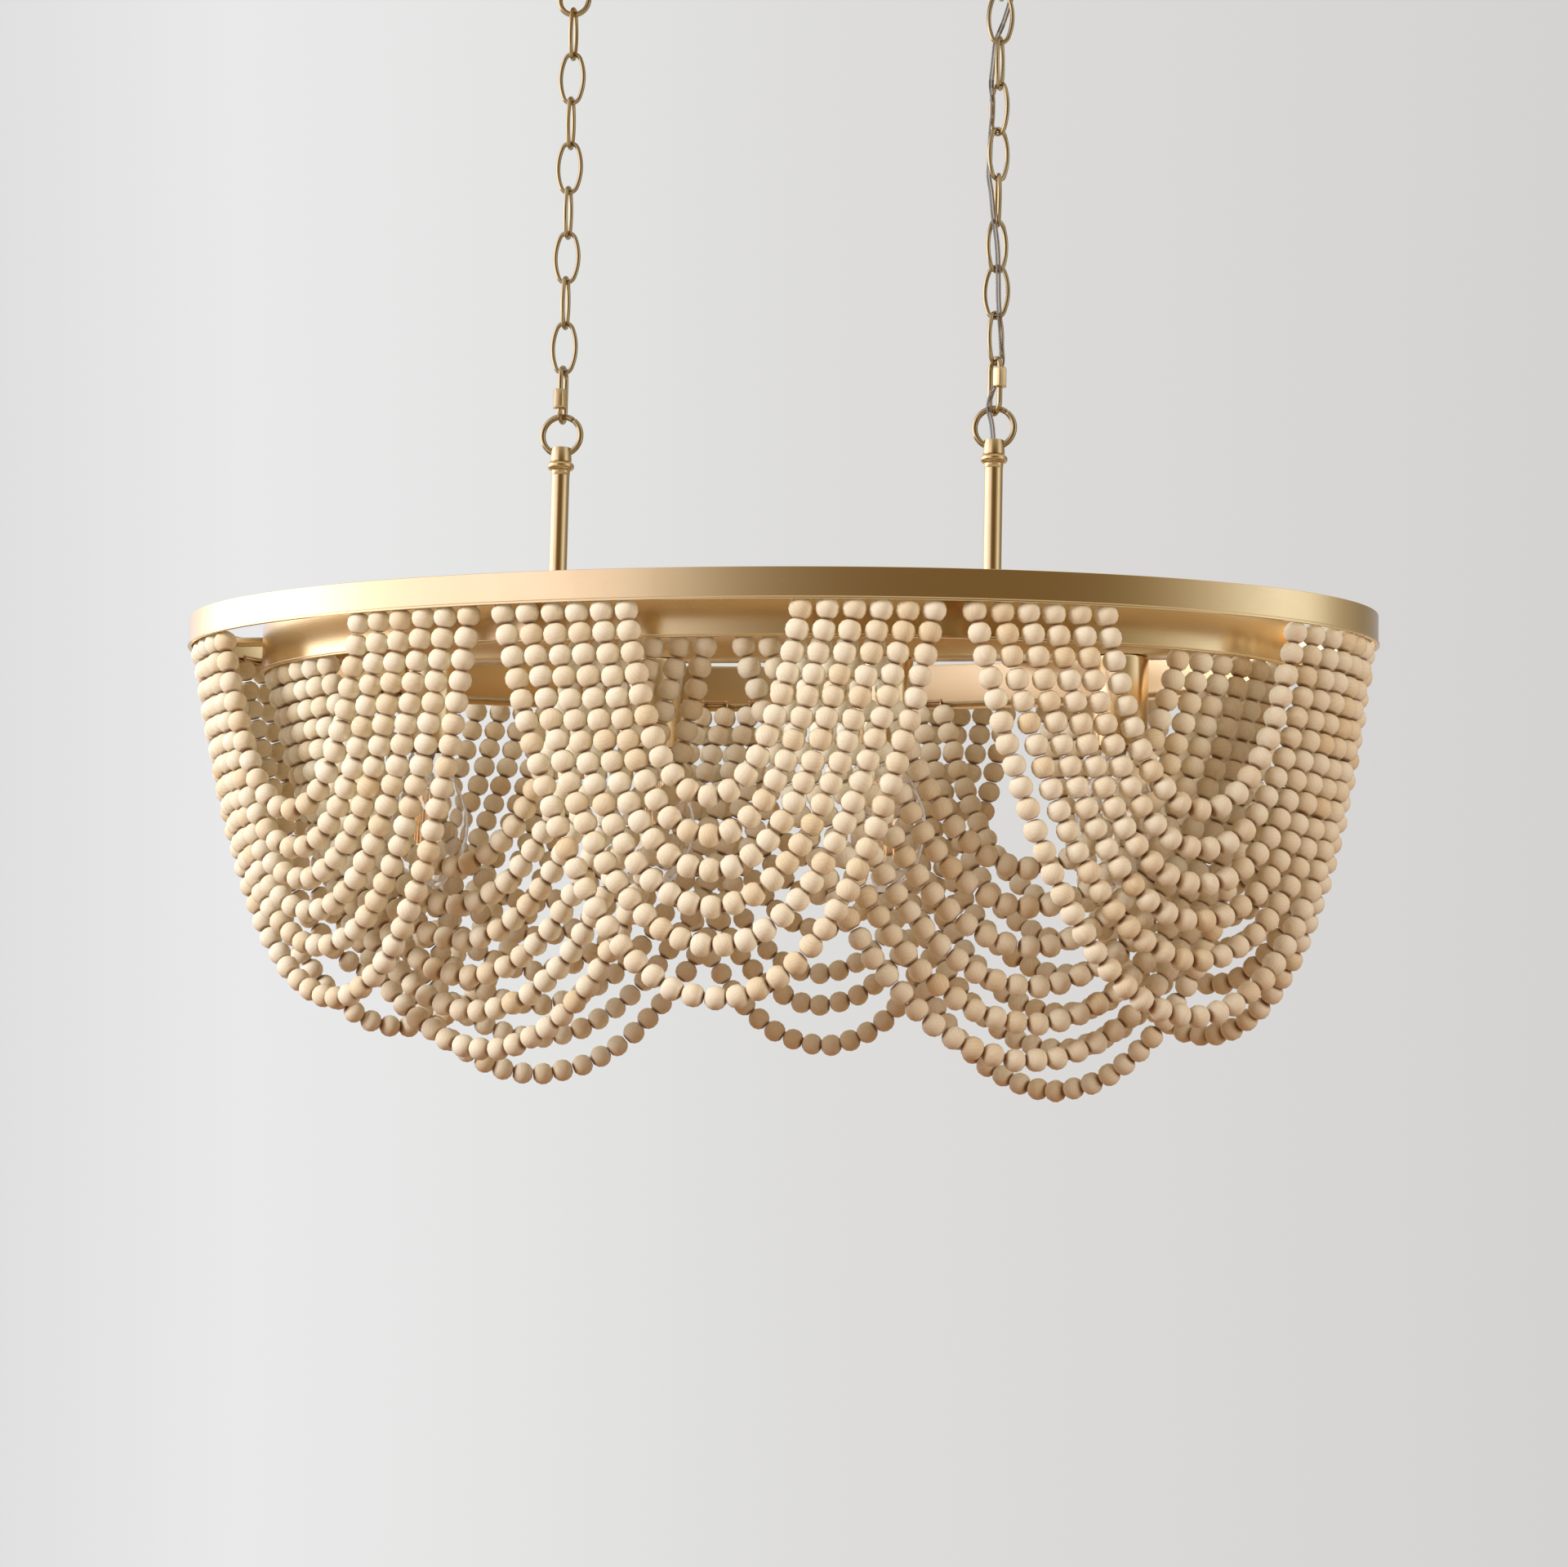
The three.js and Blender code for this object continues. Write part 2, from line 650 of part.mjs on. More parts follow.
// The size of catenary that falls by sag between two ends halfSpan from its middle
function catenarySize(halfSpan, sag) {
  let low = halfSpan / 100;
  let high = halfSpan * 100;
  for (let pass = 0; pass < 80; pass += 1) {
    const size = (low + high) / 2;
    if (size * (Math.cosh(halfSpan / size) - 1) > sag) low = size;
    else high = size;
  }
  return (low + high) / 2;
}

// Points of a hanging string, spaced so that each step turns by the same angle
function hangingPoints(start, end, top, sag) {
  const halfSpan = start.distanceTo(end) / 2;
  const size = catenarySize(halfSpan, sag);
  const endTurn = Math.atan(Math.sinh(halfSpan / size));
  const points = [];
  for (let step = 0; step <= strandTurns; step += 1) {
    const turn = endTurn * ((2 * step) / strandTurns - 1);
    const across = (size * Math.asinh(Math.tan(turn))) / halfSpan;
    const plan = new THREE.Vector2().lerpVectors(start, end, (1 + across) / 2);
    points.push(new THREE.Vector3(plan.x, plan.y, top - sag + size * (1 / Math.cos(turn) - 1)));
  }
  return points;
}

// The wire between two strand tops: up one side of the rail, over it and down the other side
function loopOverRail(rail, fromDistance, toDistance, strandTop, railHeight) {
  const offset = (distance, side, height) => {
    const { point, outward } = railPlace(rail, distance);
    return new THREE.Vector3(point.x + outward.x * side, point.y + outward.y * side, height);
  };
  const middle = (fromDistance + toDistance) / 2;
  return tube([
    offset(fromDistance, -loopReach, strandTop - loopRoot),
    offset(fromDistance, -loopReach, railHeight),
    offset(middle, 0, railHeight + loopReach),
    offset(toDistance, loopReach, railHeight),
    offset(toDistance, loopReach, strandTop - loopRoot),
  ], loopWireRadius, 3);
}

function swagGeometry(rail, swag, bandBottom, depths) {
  const strandTop = bandBottom - strandTopGap;
  const railHeight = bandBottom + railAboveRim;
  const solids = [];
  const places = depths.map((depth, strand) => {
    const half = swag.opening / 2 + strand * strandPitch;
    return { from: swag.middle - half, to: swag.middle + half, depth };
  });
  places.forEach(({ from, to, depth }) => {
    const start = railPlace(rail, from).point;
    const end = railPlace(rail, to).point;
    solids.push(tube(hangingPoints(start, end, strandTop, depth), beadDiameter / 2, 4));
  });
  const last = places.length - 1;
  places.forEach((place, strand) => {
    if (strand === last) return;
    const next = places[strand + 1];
    const end = strand % 2 === 0 ? "to" : "from";
    solids.push(loopOverRail(rail, place[end], next[end], strandTop, railHeight));
  });
  solids.push(loopOverRail(rail, places[0].from, places[0].from, strandTop, railHeight));
  solids.push(loopOverRail(rail, places[last].from, places[last].from, strandTop, railHeight));
  return joined(solids);
}

function depthsOf(shares, shortest, deepest) {
  return shares.map((share) => shortest + (deepest - shortest) * share);
}

const tabsBetween = (swags, rail, gap) => swags.flatMap(({ middle, opening }) => [
  middle,
  middle + opening / 2 + spread + gap / 2,
]);
const outerTabs = [...tabsBetween(outerSwags, outerRail, outerSwagGap)];
const innerTabs = innerSwags.map(({ middle }) => middle);
innerTabs.push(0, innerRound / 4, innerRound / 2, (3 * innerRound) / 4);

addPiece("channel", channelGeometry(), brass);
addPiece("outer_band", bandGeometry(outerLength, outerWidth, outerTop, outerBottom, outerRail, outerTabs),
  brass);
addPiece("inner_band", bandGeometry(innerLength, innerWidth, innerTop, innerBottom, innerRail, innerTabs),
  brass);
addPiece("cross_arm_left", placedArm(-stemSpacing / 2), agedBrass);
addPiece("cross_arm_right", placedArm(stemSpacing / 2), agedBrass);
addPiece("end_spoke_left", spokeGeometry().rotateZ(Math.PI), brass);
addPiece("end_spoke_right", spokeGeometry(), brass);
addPiece("outer_rail", railGeometry(outerRail, outerBottom + railAboveRim), agedBrass);
addPiece("inner_rail", railGeometry(innerRail, innerBottom + railAboveRim), agedBrass);

// A socket cup: a closed can whose mouth is recessed round the lamp socket's bore
const cupTop = channelBottom - fitGap;
const cupMouth = cupTop - cupLength;
const boreMouth = cupMouth + cupRecess;

function cupGeometry() {
  const wall = cupEdge;
  const profile = turned([
    [0, boreMouth + boreDepth],
    [boreRadius, boreMouth + boreDepth],
    [boreRadius, boreMouth],
    [cupRadius - wall, boreMouth],
    [cupRadius - wall, cupMouth],
    [cupRadius, cupMouth],
    [cupRadius, cupTop - cupEdge],
    [cupRadius - cupEdge, cupTop],
    [nippleRadius, cupTop],
    [nippleRadius, cupTop + nippleLength],
    [0, cupTop + nippleLength],
  ], 12);
  return profile;
}

// A bulb: a screw base, a slim neck and a tall globe that is widest below its middle
function bulbGeometry() {
  const top = boreMouth + boreDepth - fitGap;
  const shoulder = top - baseLength;
  const bottom = top - bulbLength;
  const glass = shoulder - bottom;
  const profile = [[0, bottom]];
  const steps = 8;
  for (let step = 1; step < steps; step += 1) {
    const height = (glass * step) / steps;
    const full = Math.sqrt(1 - (1 - Math.min(height / globeDepth, 1)) ** 2);
    const taper = height < globeDepth ? 0 : (height - globeDepth) / (glass - globeDepth);
    const slim = (1 + Math.cos(Math.PI * taper)) / 2;
    profile.push([baseRadius + (bulbRadius * full - baseRadius) * slim, bottom + height]);
  }
  profile.push([baseRadius, shoulder], [baseRadius, top - baseRadius / 3], [baseRadius / 2, top], [0, top]);
  return turned(profile, 12);
}

lampPlaces.forEach((x, lamp) => {
  addPiece(`socket_cup_${lampNames[lamp]}`, cupGeometry(), brass, x);
  addPiece(`bulb_${lampNames[lamp]}`, bulbGeometry(), bulbGlass, x);
});

for (const swag of outerSwags) {
  const depths = depthsOf(outerDepthShares, outerShortDepth, outerSwagDepth);
  addPiece(`outer_swag_${swag.name}`, swagGeometry(outerRail, swag, outerBottom, depths), beadWood);
}
for (const swag of innerSwags) {
  const depths = depthsOf(innerDepthShares, innerShortDepth, innerSwagDepth);
  addPiece(`inner_swag_${swag.name}`, swagGeometry(innerRail, swag, innerBottom, depths), beadWood);
}

export default chandelier;
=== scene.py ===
import bisect
import random
from math import asinh, atan2, copysign, cos, cosh, hypot, pi, radians, sin, sinh, sqrt

import bmesh
import bpy
from mathutils import Matrix, Vector


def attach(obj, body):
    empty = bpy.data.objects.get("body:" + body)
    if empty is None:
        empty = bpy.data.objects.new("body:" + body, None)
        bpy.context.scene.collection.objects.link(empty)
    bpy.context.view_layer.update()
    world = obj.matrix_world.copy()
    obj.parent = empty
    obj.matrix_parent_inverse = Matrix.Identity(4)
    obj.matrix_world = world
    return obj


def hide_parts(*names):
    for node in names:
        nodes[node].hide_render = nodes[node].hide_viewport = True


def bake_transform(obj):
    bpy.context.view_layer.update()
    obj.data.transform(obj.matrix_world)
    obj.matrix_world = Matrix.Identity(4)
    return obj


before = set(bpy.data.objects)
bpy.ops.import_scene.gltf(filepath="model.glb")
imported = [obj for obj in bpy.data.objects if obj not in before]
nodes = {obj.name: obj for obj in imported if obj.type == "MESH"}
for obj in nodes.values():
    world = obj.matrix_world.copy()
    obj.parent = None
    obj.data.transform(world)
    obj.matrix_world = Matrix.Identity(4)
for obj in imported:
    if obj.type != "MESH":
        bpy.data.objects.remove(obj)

scene = bpy.context.scene
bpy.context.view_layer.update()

# Camera: a little below the lamps and to the right of the middle, looking slightly up
view = {
    "azimuth": 10.73, "elevation": -7.08, "roll": 1.26, "distance": 2.899, "aimAside": 0.01209,
    "aimHeight": -0.65081, "lens": 89.28,
}


def placeCamera():
    around, up = radians(view["azimuth"]), radians(view["elevation"])
    toCamera = Vector((sin(around) * cos(up), -cos(around) * cos(up), sin(up)))
    side = Vector((cos(around), sin(around), 0))
    above = toCamera.cross(side)
    roll = radians(view["roll"])
    across = side * cos(roll) + above * sin(roll)
    upright = above * cos(roll) - side * sin(roll)
    place = side * view["aimAside"] + Vector((0, 0, view["aimHeight"])) + toCamera * view["distance"]
    data = bpy.data.cameras.new("camera")
    data.lens = view["lens"]
    data.sensor_width = 36
    data.sensor_fit = "HORIZONTAL"
    camera = bpy.data.objects.new("camera", data)
    scene.collection.objects.link(camera)
    turn = Matrix((across, upright, toCamera)).transposed().to_4x4()
    camera.matrix_world = Matrix.Translation(place) @ turn
    scene.camera = camera
    return across


cameraSide = placeCamera()
print("camera placed")


# Mesh helpers

def move(shape, matrix):
    bmesh.ops.transform(shape, matrix=matrix, verts=shape.verts)
    return shape


def slide(shape, x, z=0):
    return move(shape, Matrix.Translation((x, 0, z)))


def addPart(whole, part):
    scratch = bpy.data.meshes.new("scratch")
    part.to_mesh(scratch)
    part.free()
    whole.from_mesh(scratch)
    bpy.data.meshes.remove(scratch)


def closeUp(shape, weld=1e-7):
    bmesh.ops.remove_doubles(shape, verts=shape.verts, dist=weld)
    bmesh.ops.recalc_face_normals(shape, faces=shape.faces)
    return shape


def newObject(name, shape, materials):
    mesh = bpy.data.meshes.new(name)
    shape.to_mesh(mesh)
    shape.free()
    for material in materials:
        mesh.materials.append(material)
    made = bpy.data.objects.new(name, mesh)
    scene.collection.objects.link(made)
    return made


def makePiece(name, shape, materials, body, replaced=(), sharp=38, weld=1e-6):
    if weld:
        closeUp(shape, weld)
    piece = newObject(name, shape, materials)
    piece.data.shade_smooth()
    piece.data.set_sharp_from_angle(angle=radians(sharp))
    if body:
        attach(piece, body)
    if replaced:
        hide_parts(*replaced)
    return piece


def paint(shape, index):
    for face in shape.faces:
        face.material_index = index
    return shape


# A turned form: (radius, height) points spun once round an upright axis
def turn(profile, steps):
    shape = bmesh.new()
    points = [shape.verts.new((radius, 0, height)) for radius, height in profile]
    edges = [shape.edges.new(pair) for pair in zip(points, points[1:])]
    bmesh.ops.spin(shape, geom=points + edges, cent=(0, 0, 0), axis=(0, 0, 1), angle=2 * pi,
                   steps=steps, use_merge=True, use_duplicate=False)
    return closeUp(shape)


def makeTurned(name, profile, x, steps, material, body, node):
    makePiece(name, slide(turn(profile, steps), x), [material], body, [node])


# Turning frames along a path, each carried on from the last so that a wire doesn't twist
def pathFrames(points, upright):
    last = len(points) - 1
    frames = []
    side = None
    for index, point in enumerate(points):
        ahead = points[min(index + 1, last)] - points[max(index - 1, 0)]
        if (points[0] - points[last]).length < 1e-6 and index in (0, last):
            ahead = points[1] - points[last - 1]
        ahead = ahead.normalized()
        if side is None:
            side = Vector(upright).cross(ahead)
            side = side if side.length > 1e-3 else Vector((1, 0, 0)).cross(ahead)
        side = (side - ahead * side.dot(ahead)).normalized()
        matrix = Matrix((side, ahead.cross(side), ahead)).transposed().to_4x4()
        frames.append(Matrix.Translation(point) @ matrix)
    return frames


def pick(geom, kind):
    return [item for item in geom if isinstance(item, kind)]


def growEdges(shape, edges):
    grown = bmesh.ops.extrude_edge_only(shape, edges=edges)["geom"]
    return pick(grown, bmesh.types.BMVert), pick(grown, bmesh.types.BMEdge)


def raiseFaces(shape, height):
    grown = bmesh.ops.extrude_face_region(shape, geom=list(shape.faces))["geom"]
    bmesh.ops.translate(shape, vec=(0, 0, height), verts=pick(grown, bmesh.types.BMVert))


# A round or flattened section extruded from frame to frame
def sweep(frames, radius, sides, offset=0, squash=1, ends=True):
    shape = bmesh.new()
    ring = bmesh.ops.create_circle(shape, cap_ends=False, radius=radius, segments=sides)["verts"]
    bmesh.ops.scale(shape, vec=(1, squash, 1), verts=ring)
    bmesh.ops.translate(shape, vec=(offset, 0, 0), verts=ring)
    bmesh.ops.transform(shape, matrix=frames[0], verts=ring)
    first = edges = list(shape.edges)
    for before, after in zip(frames, frames[1:]):
        verts, edges = growEdges(shape, edges)
        bmesh.ops.transform(shape, matrix=after @ before.inverted(), verts=verts)
    if ends:
        bmesh.ops.edgeloop_fill(shape, edges=first)
        bmesh.ops.edgeloop_fill(shape, edges=edges)
    return closeUp(shape)


def drawWire(points, radius, sides=10, upright=(0, 1, 0), ends=True):
    return sweep(pathFrames(points, upright), radius, sides, ends=ends)


# A point on an upright circle that faces the front
def hoopPoint(radius, angle, height, x=0):
    return Vector((x + radius * cos(angle), 0, height + radius * sin(angle)))


def bevelEdges(shape, edges, width, segments=2):
    bmesh.ops.bevel(shape, geom=edges, offset=width, offset_type="OFFSET", affect="EDGES",
                    segments=segments, profile=0.5, material=-1)
    return shape


def bevelSharp(shape, width, angle=30):
    least = radians(angle)
    edges = [edge for edge in shape.edges if edge.is_manifold and edge.calc_face_angle() > least]
    return bevelEdges(shape, edges, width)


def block(length, width, low, high, bevel=0.0005):
    shape = bmesh.new()
    size = Matrix.Diagonal((length, width, high - low, 1))
    bmesh.ops.create_cube(shape, size=1, matrix=Matrix.Translation((0, 0, (low + high) / 2)) @ size)
    return bevelSharp(shape, bevel) if bevel else shape


# Shader helpers

def feed(tree, node, inputs):
    for name, value in inputs.items():
        if isinstance(value, bpy.types.NodeSocket):
            tree.links.new(value, node.inputs[name])
        else:
            node.inputs[name].default_value = value
    return node


def addNode(tree, kind, inputs=None, **settings):
    node = tree.nodes.new(kind)
    for name, value in settings.items():
        setattr(node, name, value)
    return feed(tree, node, inputs or {})


def colour(red, green, blue):
    return (red, green, blue, 1)


def newGroup(name, inputs):
    group = bpy.data.node_groups.new(name, "ShaderNodeTree")
    for title, kind in inputs.items():
        group.interface.new_socket(name=title, in_out="INPUT", socket_type=f"NodeSocket{kind}")
    for title, kind in (("Color", "Color"), ("Roughness", "Float"), ("Height", "Float")):
        group.interface.new_socket(name=title, in_out="OUTPUT", socket_type=f"NodeSocket{kind}")
    return group, group.nodes.new("NodeGroupInput").outputs, group.nodes.new("NodeGroupOutput")


def mixColour(tree, factor, first, second, blend="MIX"):
    return addNode(tree, "ShaderNodeMix", {0: factor, 6: first, 7: second}, data_type="RGBA",
                   blend_type=blend).outputs[2]


def remap(tree, value, low, high, toLow=0.0, toHigh=1.0):
    return addNode(tree, "ShaderNodeMapRange", {0: value, 1: low, 2: high, 3: toLow, 4: toHigh}).outputs[0]


def maths(tree, kind, first, second=0.0, clamp=False):
    return addNode(tree, "ShaderNodeMath", {0: first, 1: second}, operation=kind, use_clamp=clamp).outputs[0]


def scaled(tree, place, size):
    return addNode(tree, "ShaderNodeVectorMath", {0: place, 1: size}, operation="MULTIPLY").outputs[0]


def noise(tree, place, scale, detail=2, **more):
    inputs = {"Vector": place, "Scale": scale, "Detail": detail, **more}
    return addNode(tree, "ShaderNodeTexNoise", inputs).outputs[0]


def objectPlace(tree):
    return addNode(tree, "ShaderNodeTexCoord").outputs["Object"]


# Metal: fine brushing that runs level, blotches of tarnish, and small dark specks
def metalGroup():
    group, given, out = newGroup("brushedMetal", {
        "Place": "Vector", "Bright": "Color", "Tarnish": "Color", "Tarnish Amount": "Float",
        "Roughness": "Float", "Brushing": "Float", "Speck Amount": "Float",
    })
    lines = noise(group, scaled(group, given["Place"], (28, 28, 1500)), 1, 3, Roughness=0.6)
    blotch = noise(group, given["Place"], 34, 5, Roughness=0.62, Distortion=0.4)
    speck = noise(group, given["Place"], 620)
    stained = maths(group, "MULTIPLY", remap(group, blotch, 0.42, 0.72), given["Tarnish Amount"])
    specks = maths(group, "MULTIPLY", remap(group, speck, 0.66, 0.74), given["Speck Amount"])
    brushed = maths(group, "MULTIPLY", maths(group, "SUBTRACT", lines, 0.5), given["Brushing"])
    dark = maths(group, "ADD", maths(group, "ADD", stained, specks), brushed, clamp=True)
    rough = maths(group, "ADD", given["Roughness"], maths(group, "MULTIPLY", dark, 0.22))
    feed(group, out, {
        "Color": mixColour(group, dark, given["Bright"], given["Tarnish"]),
        "Roughness": maths(group, "ADD", rough, brushed),
        "Height": maths(group, "SUBTRACT", maths(group, "MULTIPLY", lines, 0.6),
                        maths(group, "MULTIPLY", specks, 0.8)),
    })
    return group


def newMaterial(name):
    material = bpy.data.materials.new(name)
    material.use_nodes = True
    return material, material.node_tree, material.node_tree.nodes["Principled BSDF"]


# The group with its own values, and its bump, on a material's shader
def dress(tree, shader, group, inputs, strength, distance):
    outputs = addNode(tree, "ShaderNodeGroup", inputs, node_tree=group).outputs
    bump = addNode(tree, "ShaderNodeBump", {"Strength": strength, "Distance": distance,
                                            "Height": outputs["Height"]})
    feed(tree, shader, {"Base Color": outputs["Color"], "Roughness": outputs["Roughness"],
                        "Normal": bump.outputs[0]})


brushedMetal = metalGroup()


def metal(name, bright, tarnish, amount, roughness, brushing=0.12, specks=0.3, bump=0.12):
    material, tree, shader = newMaterial(name)
    dress(tree, shader, brushedMetal, {
        "Place": objectPlace(tree), "Bright": colour(*bright), "Tarnish": colour(*tarnish),
        "Tarnish Amount": amount, "Roughness": roughness, "Brushing": brushing, "Speck Amount": specks,
    }, bump, 0.0003)
    shader.inputs["Metallic"].default_value = 1
    return material


satinBrass = metal("satinBrass", (0.82, 0.61, 0.33), (0.5, 0.33, 0.13), 0.07, 0.24, 0.03, 0.12, 0.03)
stemBrass = metal("stemBrass", (0.68, 0.49, 0.25), (0.4, 0.26, 0.1), 0.15, 0.2, 0.03, 0.12, 0.03)
antiqueBrass = metal("antiqueBrass", (0.46, 0.345, 0.18), (0.2, 0.13, 0.05), 0.25, 0.19, 0.05, 0.15, 0.05)
platedSteel = metal("platedSteel", (0.68, 0.68, 0.66), (0.4, 0.38, 0.34), 0.3, 0.36)
copperWire = metal("copperWire", (0.6, 0.36, 0.19), (0.18, 0.09, 0.05), 0.3, 0.25, 0.05, 0.2, 0.05)
copperCore = metal("copperCore", (0.62, 0.36, 0.2), (0.35, 0.18, 0.1), 0.3, 0.35)
tinnedCore = metal("tinnedCore", (0.62, 0.6, 0.57), (0.35, 0.33, 0.3), 0.3, 0.35)


# Wood: every bead has its own tone, and grain that runs its own way through it, with painted contact shade
# towards its ends
def woodGroup():
    group, given, out = newGroup("beadGrain", {
        "Place": "Vector", "Tone": "Float", "End": "Float", "Pale": "Color", "Dark": "Color",
    })
    along = scaled(group, given["Place"], (1.0, 1.0, 0.22))
    rings = addNode(group, "ShaderNodeTexWave", {"Vector": along, "Scale": 1.1, "Distortion": 5, "Detail": 2,
                                                 "Detail Scale": 1.2}, bands_direction="X").outputs["Fac"]
    pores = noise(group, scaled(group, given["Place"], (9, 9, 0.9)), 1.6, 3, Roughness=0.65)
    cloud = noise(group, given["Place"], 0.9)
    grain = maths(group, "ADD", maths(group, "MULTIPLY", rings, 0.22),
                  maths(group, "MULTIPLY", remap(group, pores, 0.5, 0.78), 0.3))
    worn = maths(group, "ADD", grain, maths(group, "MULTIPLY", remap(group, cloud, 0.4, 0.75), 0.22))
    shade = maths(group, "ADD", worn, remap(group, given["Tone"], 0, 1, -0.2, 0.8), clamp=True)
    turned = mixColour(group, shade, given["Pale"], given["Dark"])
    # Painted contact shade: towards its ends, where it meets its neighbours on the string, each bead is
    # darkened to a deep brown
    rim = remap(group, given["End"], 0.72, 0.9, 0, 0.9)
    feed(group, out, {
        "Color": mixColour(group, rim, turned, colour(0.26, 0.12, 0.04)),
        "Roughness": remap(group, grain, 0, 0.5, 0.5, 0.66),
        "Height": maths(group, "SUBTRACT", 0.5, grain),
    })
    return group


def woodMaterial():
    material, tree, shader = newMaterial("beadWood")
    place, tone, end = [addNode(tree, "ShaderNodeAttribute", attribute_name=name).outputs
                        for name in ("beadPlace", "beadTone", "beadEnd")]
    dress(tree, shader, woodGroup(), {
        "Place": place["Vector"], "Tone": tone["Fac"], "End": end["Fac"],
        "Pale": colour(0.893, 0.88, 0.755), "Dark": colour(0.78, 0.65, 0.425),
    }, 0.25, 0.0002)
    shader.inputs["Specular IOR Level"].default_value = 0.35
    return material


beadWood = woodMaterial()


# Clear materials: a little dust or haze keeps them from being perfectly clean
def clearMaterial(name, tint, roughness, ior, hazeScale, shine=0.5):
    material, tree, shader = newMaterial(name)
    haze = noise(tree, objectPlace(tree), hazeScale, 4)
    hazy = colour(*[part * 0.93 for part in tint])
    feed(tree, shader, {
        "Base Color": mixColour(tree, remap(tree, haze, 0.45, 0.8), colour(*tint), hazy),
        "Roughness": remap(tree, haze, 0.4, 0.8, roughness, roughness + 0.08),
        "Transmission Weight": 1, "IOR": ior, "Specular IOR Level": shine,
    })
    return material


bulbGlass = clearMaterial("bulbGlass", (1, 0.985, 0.96), 0.0, 1.45, 60)
cordJacket = clearMaterial("cordJacket", (0.62, 0.62, 0.6), 0.12, 1.3, 300, 0.35)


def glowMaterial():
    material, tree, shader = newMaterial("filamentGlow")
    turns = addNode(tree, "ShaderNodeTexWave", {"Vector": objectPlace(tree), "Scale": 900},
                    bands_direction="Z").outputs["Fac"]
    feed(tree, shader, {
        "Emission Color": mixColour(tree, turns, colour(1, 0.4, 0.12), colour(1, 0.62, 0.3)),
        "Base Color": colour(0.7, 0.42, 0.2), "Emission Strength": 0.9,
    })
    return material


filamentGlow = glowMaterial()
print("materials made")


# The supply cord: clear twin flex down through the chain, along the same route as the solid's
cord = {
    "middle": 0.166, "sway": 0.01, "top": -0.024, "foot": -0.39338, "sunk": 0.0057,
    "halfWidth": 0.00195, "flatness": 0.62, "coreRadius": 0.0005, "coreOffset": 0.0009,
    "route": [
        (1.4, 0), (1.13, 0.12), (0.8, 0.43), (0.5, 0.42), (0.11, 0.44), (-0.37, 0.5), (-0.47, 0.25),
        (-0.55, 0.08), (-0.62, -0.09), (-0.5, -0.05), (-0.49, -0.05), (-0.57, -0.05), (-0.63, -0.05),
        (-0.65, -0.06), (-0.69, -0.09), (-0.48, -0.29), (-0.32, -0.54), (-0.16, -0.85), (0.01, -0.6),
        (0.12, -0.49), (0.17, -0.46), (0.2, -0.45), (0.23, -0.45), (0.32, -0.5), (0.4, -0.25),
        (0.46, -0.07), (0.5, 0.08), (0.22, 0.07), (-0.19, -0.19), (-0.39, -0.46), (-0.13, -0.47),
        (0, -0.5),
    ],
    "splits": (-0.075, -0.12), "lap": 0.004,
}


def cordPoints():
    last = len(cord["route"]) - 1
    fall = cord["top"] - cord["foot"]
    points = [Vector((cord["middle"] + x * cord["sway"], y * cord["sway"], cord["top"] - fall * index / last))
              for index, (x, y) in enumerate(cord["route"])]
    points.insert(0, points[0] + Vector((0, 0, 0.012)))
    points.append(points[-1] - Vector((0, 0, cord["sunk"])))
    smooth = []
    for index in range(len(points) - 1):
        before, here = points[max(index - 1, 0)], points[index]
        there, after = points[index + 1], points[min(index + 2, len(points) - 1)]
        for part in range(4):
            share = part / 4
            bend = (here * 2 + (there - before) * share
                    + (before * 2 - here * 5 + there * 4 - after) * share ** 2
                    + (here * 3 - before - there * 3 + after) * share ** 3)
            smooth.append(bend / 2)
    return smooth + [points[-1]]


def makeCord():
    frames = pathFrames(cordPoints(), (0, 1, 0))
    upper, lower = cord["splits"]
    lap = cord["lap"]
    spans = [
        ("cord_top", upper - lap, 0, "canopy", "top_links", (-0.035, -0.070)),
        ("cord_middle", lower - lap, upper + lap, "top_links", "right_chain", (-0.078, -0.115)),
        ("cord_lower", -1, lower + lap, "right_chain", "frame", (-0.352, -0.39)),
    ]
    for name, low, high, first, second, heights in spans:
        part = [matrix for matrix in frames if low < matrix.translation.z < high]
        shape = paint(sweep(part, cord["halfWidth"], 12, squash=cord["flatness"]), 0)
        for index, offset in ((1, -cord["coreOffset"]), (2, cord["coreOffset"])):
            addPart(shape, paint(sweep(part, cord["coreRadius"], 6, offset), index))
        piece = makePiece(name, shape, [cordJacket, copperCore, tinnedCore], None,
                          ["supply_cord"], weld=0)
        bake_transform(piece)


makeCord()
print("cord made")


# Ceiling canopy: an oblong pan with rolled edges, open to the ceiling
canopy = {
    "halfSpan": 0.155, "radius": 0.055, "height": 0.024, "edge": 0.005, "wall": 0.0014,
    "chains": 0.166,
}
chainPlaces = {"left": -canopy["chains"], "right": canopy["chains"]}


